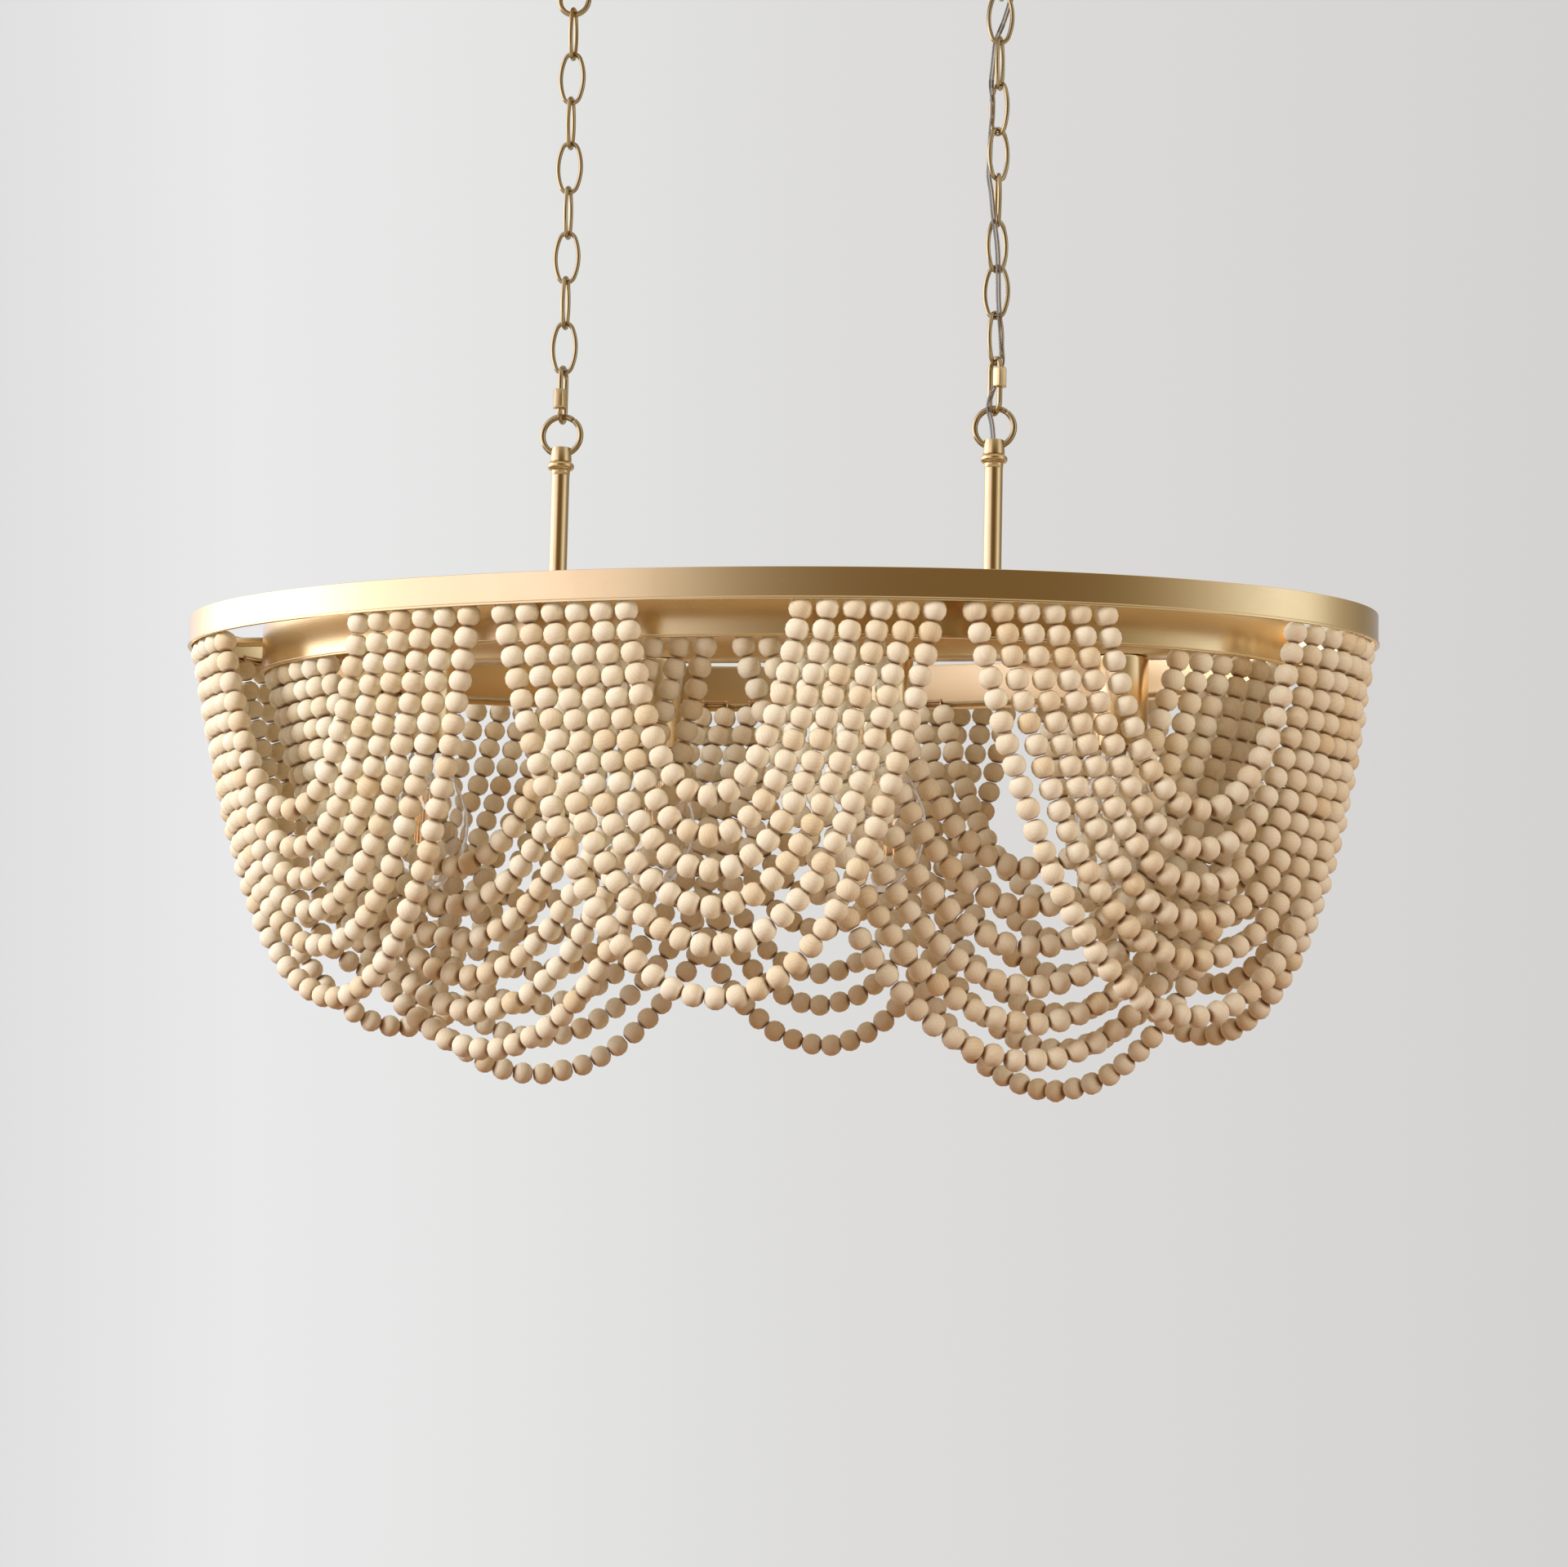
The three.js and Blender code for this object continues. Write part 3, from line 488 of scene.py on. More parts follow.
def makeCanopy():
    shape = bmesh.new()
    ring = bmesh.ops.create_circle(shape, cap_ends=False, radius=canopy["radius"], segments=64,
                                   matrix=Matrix.Rotation(pi / 64, 4, "Z"))["verts"]
    for vert in ring:
        vert.co.x += copysign(canopy["halfSpan"], vert.co.x)
    bmesh.ops.contextual_create(shape, geom=list(shape.edges))
    slide(shape, 0, -canopy["height"])
    raiseFaces(shape, canopy["height"])
    top = [face for face in shape.faces if all(vert.co.z > -1e-6 for vert in face.verts)]
    bmesh.ops.delete(shape, geom=top, context="FACES_ONLY")
    lowest = 1e-6 - canopy["height"]
    rim = [edge for edge in shape.edges if all(vert.co.z < lowest for vert in edge.verts)]
    bevelEdges(shape, rim, canopy["edge"], 4)
    bmesh.ops.recalc_face_normals(shape, faces=shape.faces)
    middle = Vector((0, 0, -0.01))
    outside = sum(face.normal.dot(face.calc_center_median() - middle) for face in shape.faces)
    if outside < 0:
        bmesh.ops.reverse_faces(shape, faces=shape.faces)
    bmesh.ops.solidify(shape, geom=list(shape.faces), thickness=canopy["wall"])
    makePiece("canopy_pan", shape, [satinBrass], "canopy", ["canopy"])


knob = {
    "places": {"left": -0.09, "right": 0.09},
    "profile": [(0, -0.0333), (0.0028, -0.0332), (0.0044, -0.0325), (0.0056, -0.0308), (0.006, -0.029),
                (0.006, -0.0268), (0.0055, -0.0256), (0.0043, -0.0245), (0.002, -0.0243), (0.002, -0.0025)],
}


def makeKnobs():
    for side, x in knob["places"].items():
        makeTurned(f"knob_{side}", knob["profile"], x, 36, satinBrass, "canopy", f"canopy_knob_{side}")


loop = {
    "centre": -0.04098, "radius": 0.0114, "wire": 0.0021,
    "turns": {"left": 0, "right": 90},
    "collar": [(0, -0.0303), (0.005, -0.0303), (0.0062, -0.0298), (0.0069, -0.0285), (0.007, -0.027),
               (0.007, -0.0243), (0.003, -0.0243), (0.003, -0.001)],
}


def makeLoops():
    ring = [hoopPoint(loop["radius"], 2 * pi * step / 40, loop["centre"]) for step in range(41)]
    for side, x in chainPlaces.items():
        shape = drawWire(ring, loop["wire"], 12, ends=False)
        addPart(shape, turn(loop["collar"], 32))
        slide(move(shape, Matrix.Rotation(radians(loop["turns"][side]), 4, "Z")), x)
        makePiece(f"loop_{side}", shape, [antiqueBrass], "canopy", [f"canopy_loop_{side}"])


makeCanopy()
makeKnobs()
makeLoops()
nodes["mounting_bar"].data.materials.clear()
nodes["mounting_bar"].data.materials.append(platedSteel)
print("canopy made")


# Chains of oval wire links, with their turns as the photograph shows them
chain = {
    "halfLength": 0.01955, "halfWidth": 0.009, "endShare": 0.72, "wire": 0.0017,
    "firstHeight": -0.06783, "pitch": 0.0354,
    "turns": {"left": [90, 0, 90, 0, 90, 0, 90, 0], "right": [0, 84, 141, 229, 286, 409, 352, 426]},
    "steps": 10,
}


# Four arcs, with as many steps round each end as along each flatter side
def linkPoints():
    endRadius = chain["halfWidth"] * chain["endShare"]
    endCentre = chain["halfLength"] - endRadius
    wide = chain["halfWidth"]
    sideRadius = (wide ** 2 + endCentre ** 2 - endRadius ** 2) / (2 * (wide - endRadius))
    sideTurn = atan2(endCentre, sideRadius - wide)
    arcs = [
        (wide - sideRadius, 0, sideRadius, -sideTurn, sideTurn),
        (0, endCentre, endRadius, sideTurn, pi - sideTurn),
        (sideRadius - wide, 0, sideRadius, pi - sideTurn, pi + sideTurn),
        (0, -endCentre, endRadius, pi + sideTurn, 2 * pi - sideTurn),
    ]
    points = []
    for x, z, radius, start, end in arcs:
        for step in range(chain["steps"]):
            points.append(hoopPoint(radius, start + (end - start) * step / chain["steps"], z, x))
    return points + [points[0].copy()]


def linkShape(side, index):
    shape = drawWire(linkPoints(), chain["wire"], ends=False)
    move(shape, Matrix.Rotation(radians(chain["turns"][side][index]), 4, "Z"))
    return slide(shape, chainPlaces[side], chain["firstHeight"] - index * chain["pitch"])


def makeChains():
    for side in ("left", "right"):
        makePiece(f"top_link_{side}", linkShape(side, 0), [antiqueBrass], "top_links",
                  [f"chain_link_{side}_1"])
        shape = bmesh.new()
        for index in range(1, 8):
            addPart(shape, linkShape(side, index))
        makePiece(f"chain_{side}", shape, [antiqueBrass], f"{side}_chain",
                  [f"chain_link_{side}_{index}" for index in range(2, 9)])


makeChains()
print("chains made")


# Screw links under the chains, their nuts, and the eye rings in the stem caps
screwLink = {
    "centre": -0.35218, "bend": 0.0085, "straight": 0.0125, "wire": 0.002, "opening": 0.0065,
    "nutLength": 0.015, "nutAcross": 0.0094, "nutChamfer": 0.0009, "nutCorner": 0.0003,
    "turns": {"left": -90, "right": 303},
    "flips": {"left": 0, "right": 180},
}


def makeScrewLinks():
    bend, straight = screwLink["bend"], screwLink["straight"]
    low = -straight + (screwLink["nutLength"] - screwLink["opening"]) / 4
    points = [Vector((bend, 0, low + screwLink["opening"]))]
    for centre, start in ((straight, 0), (-straight, pi)):
        points += [hoopPoint(bend, start + pi * step / 14, centre) for step in range(15)]
    points.append(Vector((bend, 0, low)))
    for side, x in chainPlaces.items():
        place = (Matrix.Translation((x, 0, screwLink["centre"]))
                 @ Matrix.Rotation(radians(screwLink["turns"][side]), 4, "Z")
                 @ Matrix.Rotation(radians(screwLink["flips"][side]), 4, "X"))
        shape = move(drawWire(points, screwLink["wire"], 12), place)
        makePiece(f"screw_link_{side}", shape, [antiqueBrass], f"{side}_chain",
                  [f"quick_link_{side}"])
        makeNut(side, place)


# A hexagonal sleeve with its corners turned off at both ends
def makeNut(side, place):
    shape = bmesh.new()
    bmesh.ops.create_circle(shape, cap_ends=True, radius=screwLink["nutAcross"] / sqrt(3), segments=6)
    raiseFaces(shape, screwLink["nutLength"])
    bmesh.ops.recalc_face_normals(shape, faces=shape.faces)
    level = [edge for edge in shape.edges if abs(edge.verts[0].co.z - edge.verts[1].co.z) < 1e-6]
    bevelEdges(shape, level, screwLink["nutChamfer"])
    least = screwLink["nutLength"] / 2
    uprights = [edge for edge in shape.edges
                if edge.is_manifold and abs(edge.verts[0].co.z - edge.verts[1].co.z) > least]
    bevelEdges(shape, uprights, screwLink["nutCorner"])
    move(slide(shape, screwLink["bend"], -screwLink["straight"]), place)
    makePiece(f"nut_{side}", shape, [stemBrass], f"nut_{side}", [f"quick_link_nut_{side}"],
              sharp=30)


eye = {"centre": -0.38388, "radius": 0.0148, "wire": 0.0023, "ease": 0.0003, "joint": 52, "gap": 2.4}


def makeEyes():
    first, whole = eye["joint"] + eye["gap"] / 2, 360 - eye["gap"]
    angles = [radians(first + whole * step / 48) for step in range(49)]
    for side, x in chainPlaces.items():
        ring = [hoopPoint(eye["radius"], angle, eye["centre"], x) for angle in angles]
        shape = bevelSharp(drawWire(ring, eye["wire"], 12), eye["ease"], angle=60)
        makePiece(f"eye_{side}", shape, [antiqueBrass], "frame", [f"eye_ring_{side}"])


makeScrewLinks()
makeEyes()
print("screw links and eyes made")


# Stems with their caps: heights from the top of the cap down to the spigot under the arm
stem = {
    "cap": [(0, -0.39338), (0.0068, -0.39338), (0.0074, -0.39358), (0.0076, -0.3941), (0.0082, -0.404),
            (0.0077, -0.4046)],
    "collar": {"radius": 0.0073, "swell": 0.003, "middle": -0.4078, "height": 0.0031},
    "skirt": [(0.0073, -0.4112), (0.0071, -0.4118), (0.0071, -0.41448), (0.0069, -0.41478),
              (0.006, -0.41478)],
    "tube": [(0.0069, -0.414), (0.0069, -0.5282), (0.0066, -0.52858), (0.0048, -0.52858), (0.0048, -0.53958),
             (0.0036, -0.53958), (0.0036, -0.528)],
}


def capProfile():
    ring = stem["collar"]
    angles = [pi * (0.5 - step / 10) for step in range(1, 10)]
    bulge = [(ring["radius"] + ring["swell"] * cos(angle),
              ring["middle"] + ring["height"] * sin(angle)) for angle in angles]
    return stem["cap"] + bulge + stem["skirt"]


def makeStems():
    for side, x in chainPlaces.items():
        makeTurned(f"cap_{side}", capProfile(), x, 48, stemBrass, "frame", f"stem_cap_{side}")
        makeTurned(f"tube_{side}", stem["tube"], x, 48, stemBrass, "frame", f"stem_{side}")


makeStems()
print("stems made")


# The two oval bands: rings of (inset, height) laid one after another round the band's section
bands = {
    "outer": {"long": 0.45, "short": 0.225, "top": -0.52788, "bottom": -0.55048},
    "inner": {"long": 0.3927, "short": 0.185, "top": -0.53518, "bottom": -0.57048},
    "wall": 0.0024, "proud": 0.0008, "rim": 0.0018, "ease": 0.0003, "segments": 256,
}
rail = {"inset": 0.008, "height": 0.0044, "wire": 0.00125}
railTab = {"length": 0.008, "width": 0.0046, "half": 0.0013, "outwards": 0.0038, "bevel": 0.0003,
           "beyond": 0.0125}


def bandShape(size):
    wall, proud, rim, ease = bands["wall"], bands["proud"], bands["rim"], bands["ease"]
    top, bottom = size["top"], size["bottom"]
    section = [
        (ease, top), (0, top - ease), (0, bottom + rim + ease), (-proud + 0.0002, bottom + rim),
        (-proud, bottom + rim - ease), (-proud, bottom + ease), (-proud + ease, bottom),
        (wall - ease, bottom), (wall, bottom + ease), (wall, top - ease), (wall - ease, top), (ease, top),
    ]
    shape = bmesh.new()
    bmesh.ops.create_circle(shape, cap_ends=False, radius=1, segments=bands["segments"])
    edges, verts = list(shape.edges), list(shape.verts)
    before = (1, 1, 0)
    for index, (inset, height) in enumerate(section):
        if index:
            verts, edges = growEdges(shape, edges)
        after = (size["long"] - inset, size["short"] - inset, height)
        bmesh.ops.scale(shape, vec=(after[0] / before[0], after[1] / before[1], 1), verts=verts)
        bmesh.ops.translate(shape, vec=(0, 0, after[2] - before[2]), verts=verts)
        before = after
    return shape


# Places along a rail, by distance from the middle of the front, going round by the right
def railLine(size):
    long, short = size["long"] - rail["inset"], size["short"] - rail["inset"]
    places, lengths = [], [0.0]
    for step in range(2881):
        angle = 2 * pi * step / 2880 - pi / 2
        places.append(Vector((long * cos(angle), short * sin(angle), 0)))
        if step:
            lengths.append(lengths[-1] + (places[-1] - places[-2]).length)
    return places, lengths


def railPlace(line, distance):
    places, lengths = line
    distance %= lengths[-1]
    index = min(max(bisect.bisect_right(lengths, distance), 1), len(lengths) - 1)
    share = (distance - lengths[index - 1]) / (lengths[index] - lengths[index - 1])
    along = (places[index] - places[index - 1]).normalized()
    point = places[index - 1].lerp(places[index], share)
    return point, along, Vector((along.y, -along.x, 0))


def railSpot(name, distance, outwards, height=0.0):
    point, along, outward = railPlace(lines[name], distance)
    return point + outward * outwards + Vector((0, 0, height))


lines = {name: railLine(bands[name]) for name in ("outer", "inner")}
outerRound, innerRound = lines["outer"][1][-1], lines["inner"][1][-1]

# Swags of bead strings: their middles along the rail, half the innermost opening, and their depths
swags = {
    "strands": 6, "strandPitch": 0.0185, "topGap": -0.0022, "inward": 0.0014,
    "outer": {
        "depths": [0.1387 + 0.142 * share for share in (0, 0.19, 0.36, 0.535, 0.725, 1)],
        "places": {"front": 0, "front_right": 0.3495, "back_right": outerRound / 2 - 0.3495,
                   "back": outerRound / 2, "back_left": outerRound / 2 + 0.3495, "front_left": -0.3495},
        "halfOpening": {"front": 0.0635, "back": 0.0635},
        "cornerOpening": 0.076,
        "drops": {"front": (0, 0, 0, 0, 0, -0.003), "back": (0, 0, 0.003, 0.014, 0.012, 0.005),
                  "front_left": (0, 0, -0.002, -0.004, -0.006, -0.008)},
        "leans": {"front": (0, 0.02), "front_left": (0.05, 0.05), "front_right": (0, 0.05),
                  "back": (0.01, 0.03), "back_right": (0.01, 0.04), "back_left": (0, 0)},
    },
    "inner": {
        "depths": [0.1597 + 0.136 * share for share in (0, 0.2, 0.4, 0.6, 0.79, 1)],
        "places": {"front_right": innerRound / 8 - 0.01125, "back_right": innerRound * 3 / 8 + 0.01125,
                   "back_left": innerRound * 5 / 8 - 0.01125, "front_left": innerRound * 7 / 8 + 0.01125},
        "halfOpening": {},
        "cornerOpening": innerRound / 8 - 0.02375 - 0.0925,
        "drops": {"front_left": (0, 0, -0.002, -0.004, -0.005, -0.007),
                  "back_right": (0, 0, 0, 0.003, 0.005, 0.008), "front_right": (0, 0, 0, 0, 0, -0.003)},
        "leans": {"front_left": (0.04, 0.05), "front_right": (0.02, 0.05), "back_left": (0, -0.02),
                  "back_right": (0.01, 0.04)},
    },
}


def swagPlaces(name):
    group = swags[name]
    return [(title, middle, group["halfOpening"].get(title, group["cornerOpening"]))
            for title, middle in group["places"].items()]


# The outer band has tabs for its rail at each swag and between swags, the inner one also at its quarters
def tabPlaces(name):
    spread = (swags["strands"] - 1) * swags["strandPitch"] + railTab["beyond"]
    if name == "outer":
        return [middle + reach for title, middle, half in swagPlaces(name) for reach in (0, half + spread)]
    return [*swags[name]["places"].values(), 0, innerRound / 4, innerRound / 2, innerRound * 3 / 4]


def makeBands():
    for name in ("outer", "inner"):
        height = bands[name]["bottom"] + rail["height"]
        shape = bandShape(bands[name])
        bmesh.ops.remove_doubles(shape, verts=shape.verts, dist=1e-6)
        for distance in tabPlaces(name):
            half = railTab["half"]
            tab = block(railTab["length"], railTab["width"], -half, half, railTab["bevel"])
            along = railPlace(lines[name], distance)[1]
            turned = Matrix.Rotation(atan2(along.y, along.x), 4, "Z")
            spot = railSpot(name, distance, railTab["outwards"], height)
            addPart(shape, move(tab, Matrix.Translation(spot) @ turned))
        makePiece(f"{name}_hoop", shape, [satinBrass], "frame", [f"{name}_band"])
        points = [railSpot(name, step * lines[name][1][-1] / 220, 0, height) for step in range(221)]
        points[-1] = points[0].copy()
        wire = drawWire(points, rail["wire"], 8, (0, 0, 1), ends=False)
        makePiece(f"{name}_wire", wire, [antiqueBrass], "frame", [f"{name}_rail"])


makeBands()
print("bands and rails made")


# The channel along the long axis, the arms across the bands and the spokes at their ends
carrier = {
    "halfLength": 0.3885, "width": 0.03, "wall": 0.0016, "bottom": -0.55788, "top": -0.53518,
    "armWidth": 0.024, "armLow": -0.53488, "armHigh": -0.52888, "armReach": 0.2215,
    "spokeLow": -0.54418, "spokeHigh": -0.53778, "spokeStart": 0.39315, "spokeEnd": 0.44715,
    "bend": 0.0012, "ease": 0.0006, "armInset": 0.0027,
}


def makeChannel():
    shape = block(2 * carrier["halfLength"], carrier["width"], carrier["bottom"], carrier["top"], 0)
    top = [face for face in shape.faces if face.normal.z > 0.9]
    bmesh.ops.delete(shape, geom=top, context="FACES")
    bends = [edge for edge in shape.edges if edge.is_manifold]
    bevelEdges(shape, bends, carrier["bend"])
    bmesh.ops.solidify(shape, geom=list(shape.faces), thickness=carrier["wall"])
    makePiece("lamp_channel", shape, [satinBrass], "frame", ["channel"])


# An arm's ends are cut along the outer band's inner face
def makeArms():
    inside = [bands["outer"][way] - carrier["armInset"] for way in ("long", "short")]
    for side, x in chainPlaces.items():
        shape = block(carrier["armWidth"], 2 * carrier["armReach"], carrier["armLow"], carrier["armHigh"], 0)
        slide(shape, x)
        ends = [Vector((edge, inside[1] * sqrt(1 - (edge / inside[0]) ** 2), 0))
                for edge in (x - carrier["armWidth"] / 2, x + carrier["armWidth"] / 2)]
        along = (ends[1] - ends[0]).normalized()
        for sign in (1, -1):
            geom = list(shape.verts) + list(shape.edges) + list(shape.faces)
            cut = bmesh.ops.bisect_plane(shape, geom=geom, dist=1e-7,
                                         plane_co=(ends[0].x, ends[0].y * sign, 0),
                                         plane_no=(-along.y, along.x * sign, 0), clear_outer=True)["geom_cut"]
            bmesh.ops.contextual_create(shape, geom=pick(cut, bmesh.types.BMEdge))
        bmesh.ops.recalc_face_normals(shape, faces=shape.faces)
        bevelSharp(shape, carrier["ease"])
        makePiece(f"arm_{side}", shape, [satinBrass], "frame", [f"cross_arm_{side}"])


def makeSpokes():
    width = carrier["spokeHigh"] - carrier["spokeLow"]
    length = carrier["spokeEnd"] - carrier["spokeStart"]
    middle = (carrier["spokeEnd"] + carrier["spokeStart"]) / 2
    for side, sign in (("left", -1), ("right", 1)):
        shape = block(length, width, carrier["spokeLow"], carrier["spokeHigh"], carrier["ease"])
        slide(shape, sign * middle)
        makePiece(f"spoke_{side}", shape, [satinBrass], "frame", [f"end_spoke_{side}"])


makeChannel()
makeArms()
makeSpokes()
print("channel, arms and spokes made")


# Lamps: socket cups, and clear bulbs with screw bases
lamp = {
    "places": {"far_left": -0.2625, "mid_left": -0.0875, "mid_right": 0.0875, "far_right": 0.2625},
    "cup": [(0, -0.59218), (0.0138, -0.59218), (0.0138, -0.62118), (0.0188, -0.62118), (0.0189, -0.6249),
            (0.0192, -0.62518), (0.0201, -0.62518), (0.0204, -0.6249), (0.0204, -0.5604), (0.0198, -0.5588),
            (0.0185, -0.55818), (0.0048, -0.55818), (0.0048, -0.55218), (0, -0.55218)],
    "top": -0.59248, "baseLength": 0.027, "bulbLength": 0.14, "neck": 0.0124, "radius": 0.032,
    "globe": 0.051, "glass": 0.0008, "threads": 5, "threadPitch": 0.0033, "threadStart": 0.0056,
    "thread": [(0.0119, 0), (0.0127, 0.3), (0.013, 0.5), (0.0127, 0.7)],
    "contact": [(0, 0), (0.004, 0), (0.0048, -0.0012), (0.0075, -0.0032), (0.0105, -0.0045)],
    "skirt": [(0.0119, 0.004), (0.0126, 0.003), (0.0126, -0.0012), (0.0121, -0.0016)],
}


def bulbProfile(shrink, steps=36):
    bottom = lamp["top"] - lamp["bulbLength"]
    height = lamp["bulbLength"] - lamp["baseLength"]
    globe, neck = lamp["globe"], lamp["neck"]
    profile = []
    for step in range(steps + 1):
        rise = height * (step / steps) ** 1.5    # closer points round the tip, where the glass curves most
        if rise < globe:
            radius = lamp["radius"] * sqrt(1 - (1 - rise / globe) ** 2)
        else:
            slim = (1 + cos(pi * (rise - globe) / (height - globe))) / 2
            radius = neck + (lamp["radius"] - neck) * slim
        profile.append((max(0, radius - shrink), bottom + shrink + (height - shrink) * rise / height))
    profile[0] = (0, profile[0][1])
    return profile


def bulbShape():
    outside, inside = turn(bulbProfile(0), 40), turn(bulbProfile(lamp["glass"]), 40)
    bmesh.ops.reverse_faces(inside, faces=inside.faces)
    addPart(outside, inside)
    bmesh.ops.bridge_loops(outside, edges=[edge for edge in outside.edges if edge.is_boundary])
    return paint(outside, 0)


def screwBase():
    top, pitch = lamp["top"], lamp["threadPitch"]
    profile = [(radius, top + height) for radius, height in lamp["contact"]]
    for index in range(lamp["threads"]):
        start = top - lamp["threadStart"] - index * pitch
        profile += [(radius, start - pitch * share) for radius, share in lamp["thread"]]
    profile += [(radius, top - lamp["baseLength"] + height) for radius, height in lamp["skirt"]]
    return paint(turn(profile, 36), 1)


filament = {
    "loops": 7, "top": 0.03, "bottom": 0.088, "topRadius": 0.0075, "bottomRadius": 0.0092,
    "root": 0.033,
    "stem": [(0.0085, 0.001), (0.006, -0.006), (0.0035, -0.014), (0.0026, -0.03), (0.003, -0.034),
             (0, -0.036)],
    "wire": 0.0002, "holder": 0.00014, "post": 0.0005, "postTop": 0.034, "postGap": 0.002,
}


# A flared glass stem holds fine wires, and the filament runs up and down between them
def filamentParts():
    base = lamp["top"] - lamp["baseLength"]
    high, low = base - filament["top"], base - filament["bottom"]
    root = Vector((0, 0, base - filament["root"]))
    shape = paint(turn([(radius, base + height) for radius, height in filament["stem"]], 20), 2)
    for index in range(filament["loops"]):
        first, last = [2 * pi * (index + share) / filament["loops"] for share in (0.35, 0.85)]
        start, foot, end = [
            Vector((radius * cos(angle), radius * sin(angle), height))
            for radius, angle, height in (
                (filament["topRadius"], first, high), (filament["bottomRadius"], (first + last) / 2, low),
                (filament["topRadius"], last, high))]
        points = [start.lerp(foot, part / 6) for part in range(6)]
        points += [foot.lerp(end, part / 6) for part in range(7)]
        addPart(shape, paint(drawWire(points, filament["wire"], 5), 3))
        addPart(shape, paint(drawWire([root, root.lerp(start, 0.5), start], filament["holder"], 5), 4))
    top = base - filament["postTop"]
    post = [Vector((0, 0, height)) for height in (top, (top + low) / 2, low + filament["postGap"])]
    addPart(shape, paint(drawWire(post, filament["post"], 8), 2))
    return shape


def makeLamps():
    for name, x in lamp["places"].items():
        makeTurned(f"cup_{name}", lamp["cup"], x, 48, satinBrass, "frame", f"socket_cup_{name}")
        shape = bulbShape()
        addPart(shape, screwBase())
        addPart(shape, filamentParts())
        glass = [bulbGlass, satinBrass, bulbGlass, filamentGlow, platedSteel]
        makePiece(f"lamp_{name}", slide(shape, x), glass, f"lamp_{name}", [f"bulb_{name}"],
                  weld=0)


makeLamps()
print("lamps made")


# Beads: one template, set along each strand's hanging curve, a little uneven as turned wood is
bead = {
    "radius": 0.0086, "pitch": 0.0156, "roundness": 0.95, "flatEnd": 0.95, "length": 0.96,
    "sizes": (0.975, 1.012), "tilt": 0.07, "shift": 0.00045, "tone": (0.28, 0.12),
    "darkTone": (0.62, 0.14), "darkShare": 0.2,
}


def beadTemplate():
    shape = bmesh.new()
    bmesh.ops.create_uvsphere(shape, u_segments=12, v_segments=7, radius=1)
    for vert in shape.verts:
        across = hypot(vert.co.x, vert.co.y)
        wider = across ** (bead["roundness"] - 1) if across > 1e-6 else 0
        high = min(abs(vert.co.z) ** bead["roundness"], bead["flatEnd"])
        vert.co = (vert.co.x * wider, vert.co.y * wider, copysign(high, vert.co.z))
    bmesh.ops.scale(shape, vec=(1, 1, bead["length"]), verts=shape.verts)
    mesh = bpy.data.meshes.new("beadTemplate")
    shape.to_mesh(mesh)
    shape.free()
    return mesh


# How flat the curve must be for a string to hang down by this much
def catenarySize(halfSpan, sag):
    low, high = halfSpan / 100, halfSpan * 100
    for _ in range(60):
        size = (low + high) / 2
        if size * (cosh(min(halfSpan / size, 300)) - 1) > sag:
            low = size
        else:
            high = size
    return (low + high) / 2


# A strand's points at even distances along its curve, with the direction at each
def strandSpots(start, end, top, sag):
    halfSpan = (end - start).length / 2
    size = catenarySize(halfSpan, sag)
    half = size * sinh(halfSpan / size)
    count = round(2 * half / bead["pitch"])
    level = (end - start).normalized()
    middle = (start + end) / 2
    spots = []
    for index in range(count):
        along = 2 * half * (index + 0.5) / count - half
        across = size * asinh(along / size)
        height = top - sag + size * (cosh(across / size) - 1)
        spots.append((Vector((middle.x, middle.y, height)) + level * across,
                      (level + Vector((0, 0, sinh(across / size)))).normalized()))
    return spots


# Each vertex keeps its bead's tone, its place in the grain, and how near it is to the bead's end, where the
# wood paints contact shade
def addBead(shape, layers, template, chance, place, along):
    count = len(shape.verts)
    shape.from_mesh(template)
    shape.verts.ensure_lookup_table()
    verts = shape.verts[count:]
    tilt = Vector([chance.uniform(-1, 1) for _ in range(3)]) * bead["tilt"]
    turned = (along + tilt).to_track_quat("Z", "Y").to_matrix().to_4x4()
    roll = Matrix.Rotation(chance.uniform(0, 2 * pi), 4, "Z")
    size = bead["radius"] * chance.uniform(*bead["sizes"])
    shift = Vector([chance.uniform(-1, 1) for _ in range(3)]) * bead["shift"]
    grain = Matrix.Rotation(chance.uniform(0, pi), 4, (chance.random(), chance.random(), 0.3))
    origin = Vector([chance.uniform(-40, 40) for _ in range(3)])
    dark = chance.random() < bead["darkShare"]
    tone = chance.gauss(*bead["darkTone" if dark else "tone"])
    for vert in verts:
        vert[layers[0]] = grain @ vert.co + origin
        vert[layers[1]] = min(1, max(0, tone))
        vert[layers[2]] = abs(vert.co.z)
    matrix = Matrix.Translation(place + shift) @ turned @ roll @ Matrix.Scale(size, 4)
    bmesh.ops.transform(shape, matrix=matrix, verts=verts)


def swagShape(name, middle, half, depths, top, leans, chance, template):
    shape = bmesh.new()
    kinds = shape.verts.layers
    layers = [kinds.float_vector.new("beadPlace"), kinds.float.new("beadTone"), kinds.float.new("beadEnd")]
    for strand, depth in enumerate(depths):
        reach = half + strand * swags["strandPitch"]
        start, end = [railSpot(name, middle + sign * reach, -swags["inward"]) for sign in (-1, 1)]
        lean = leans[0] + (leans[1] - leans[0]) * strand / (swags["strands"] - 1)
        for place, along in strandSpots(start, end, top, depth):
            place.x += lean * (top - place.z)
            addBead(shape, layers, template, chance, place, along)
    return shape


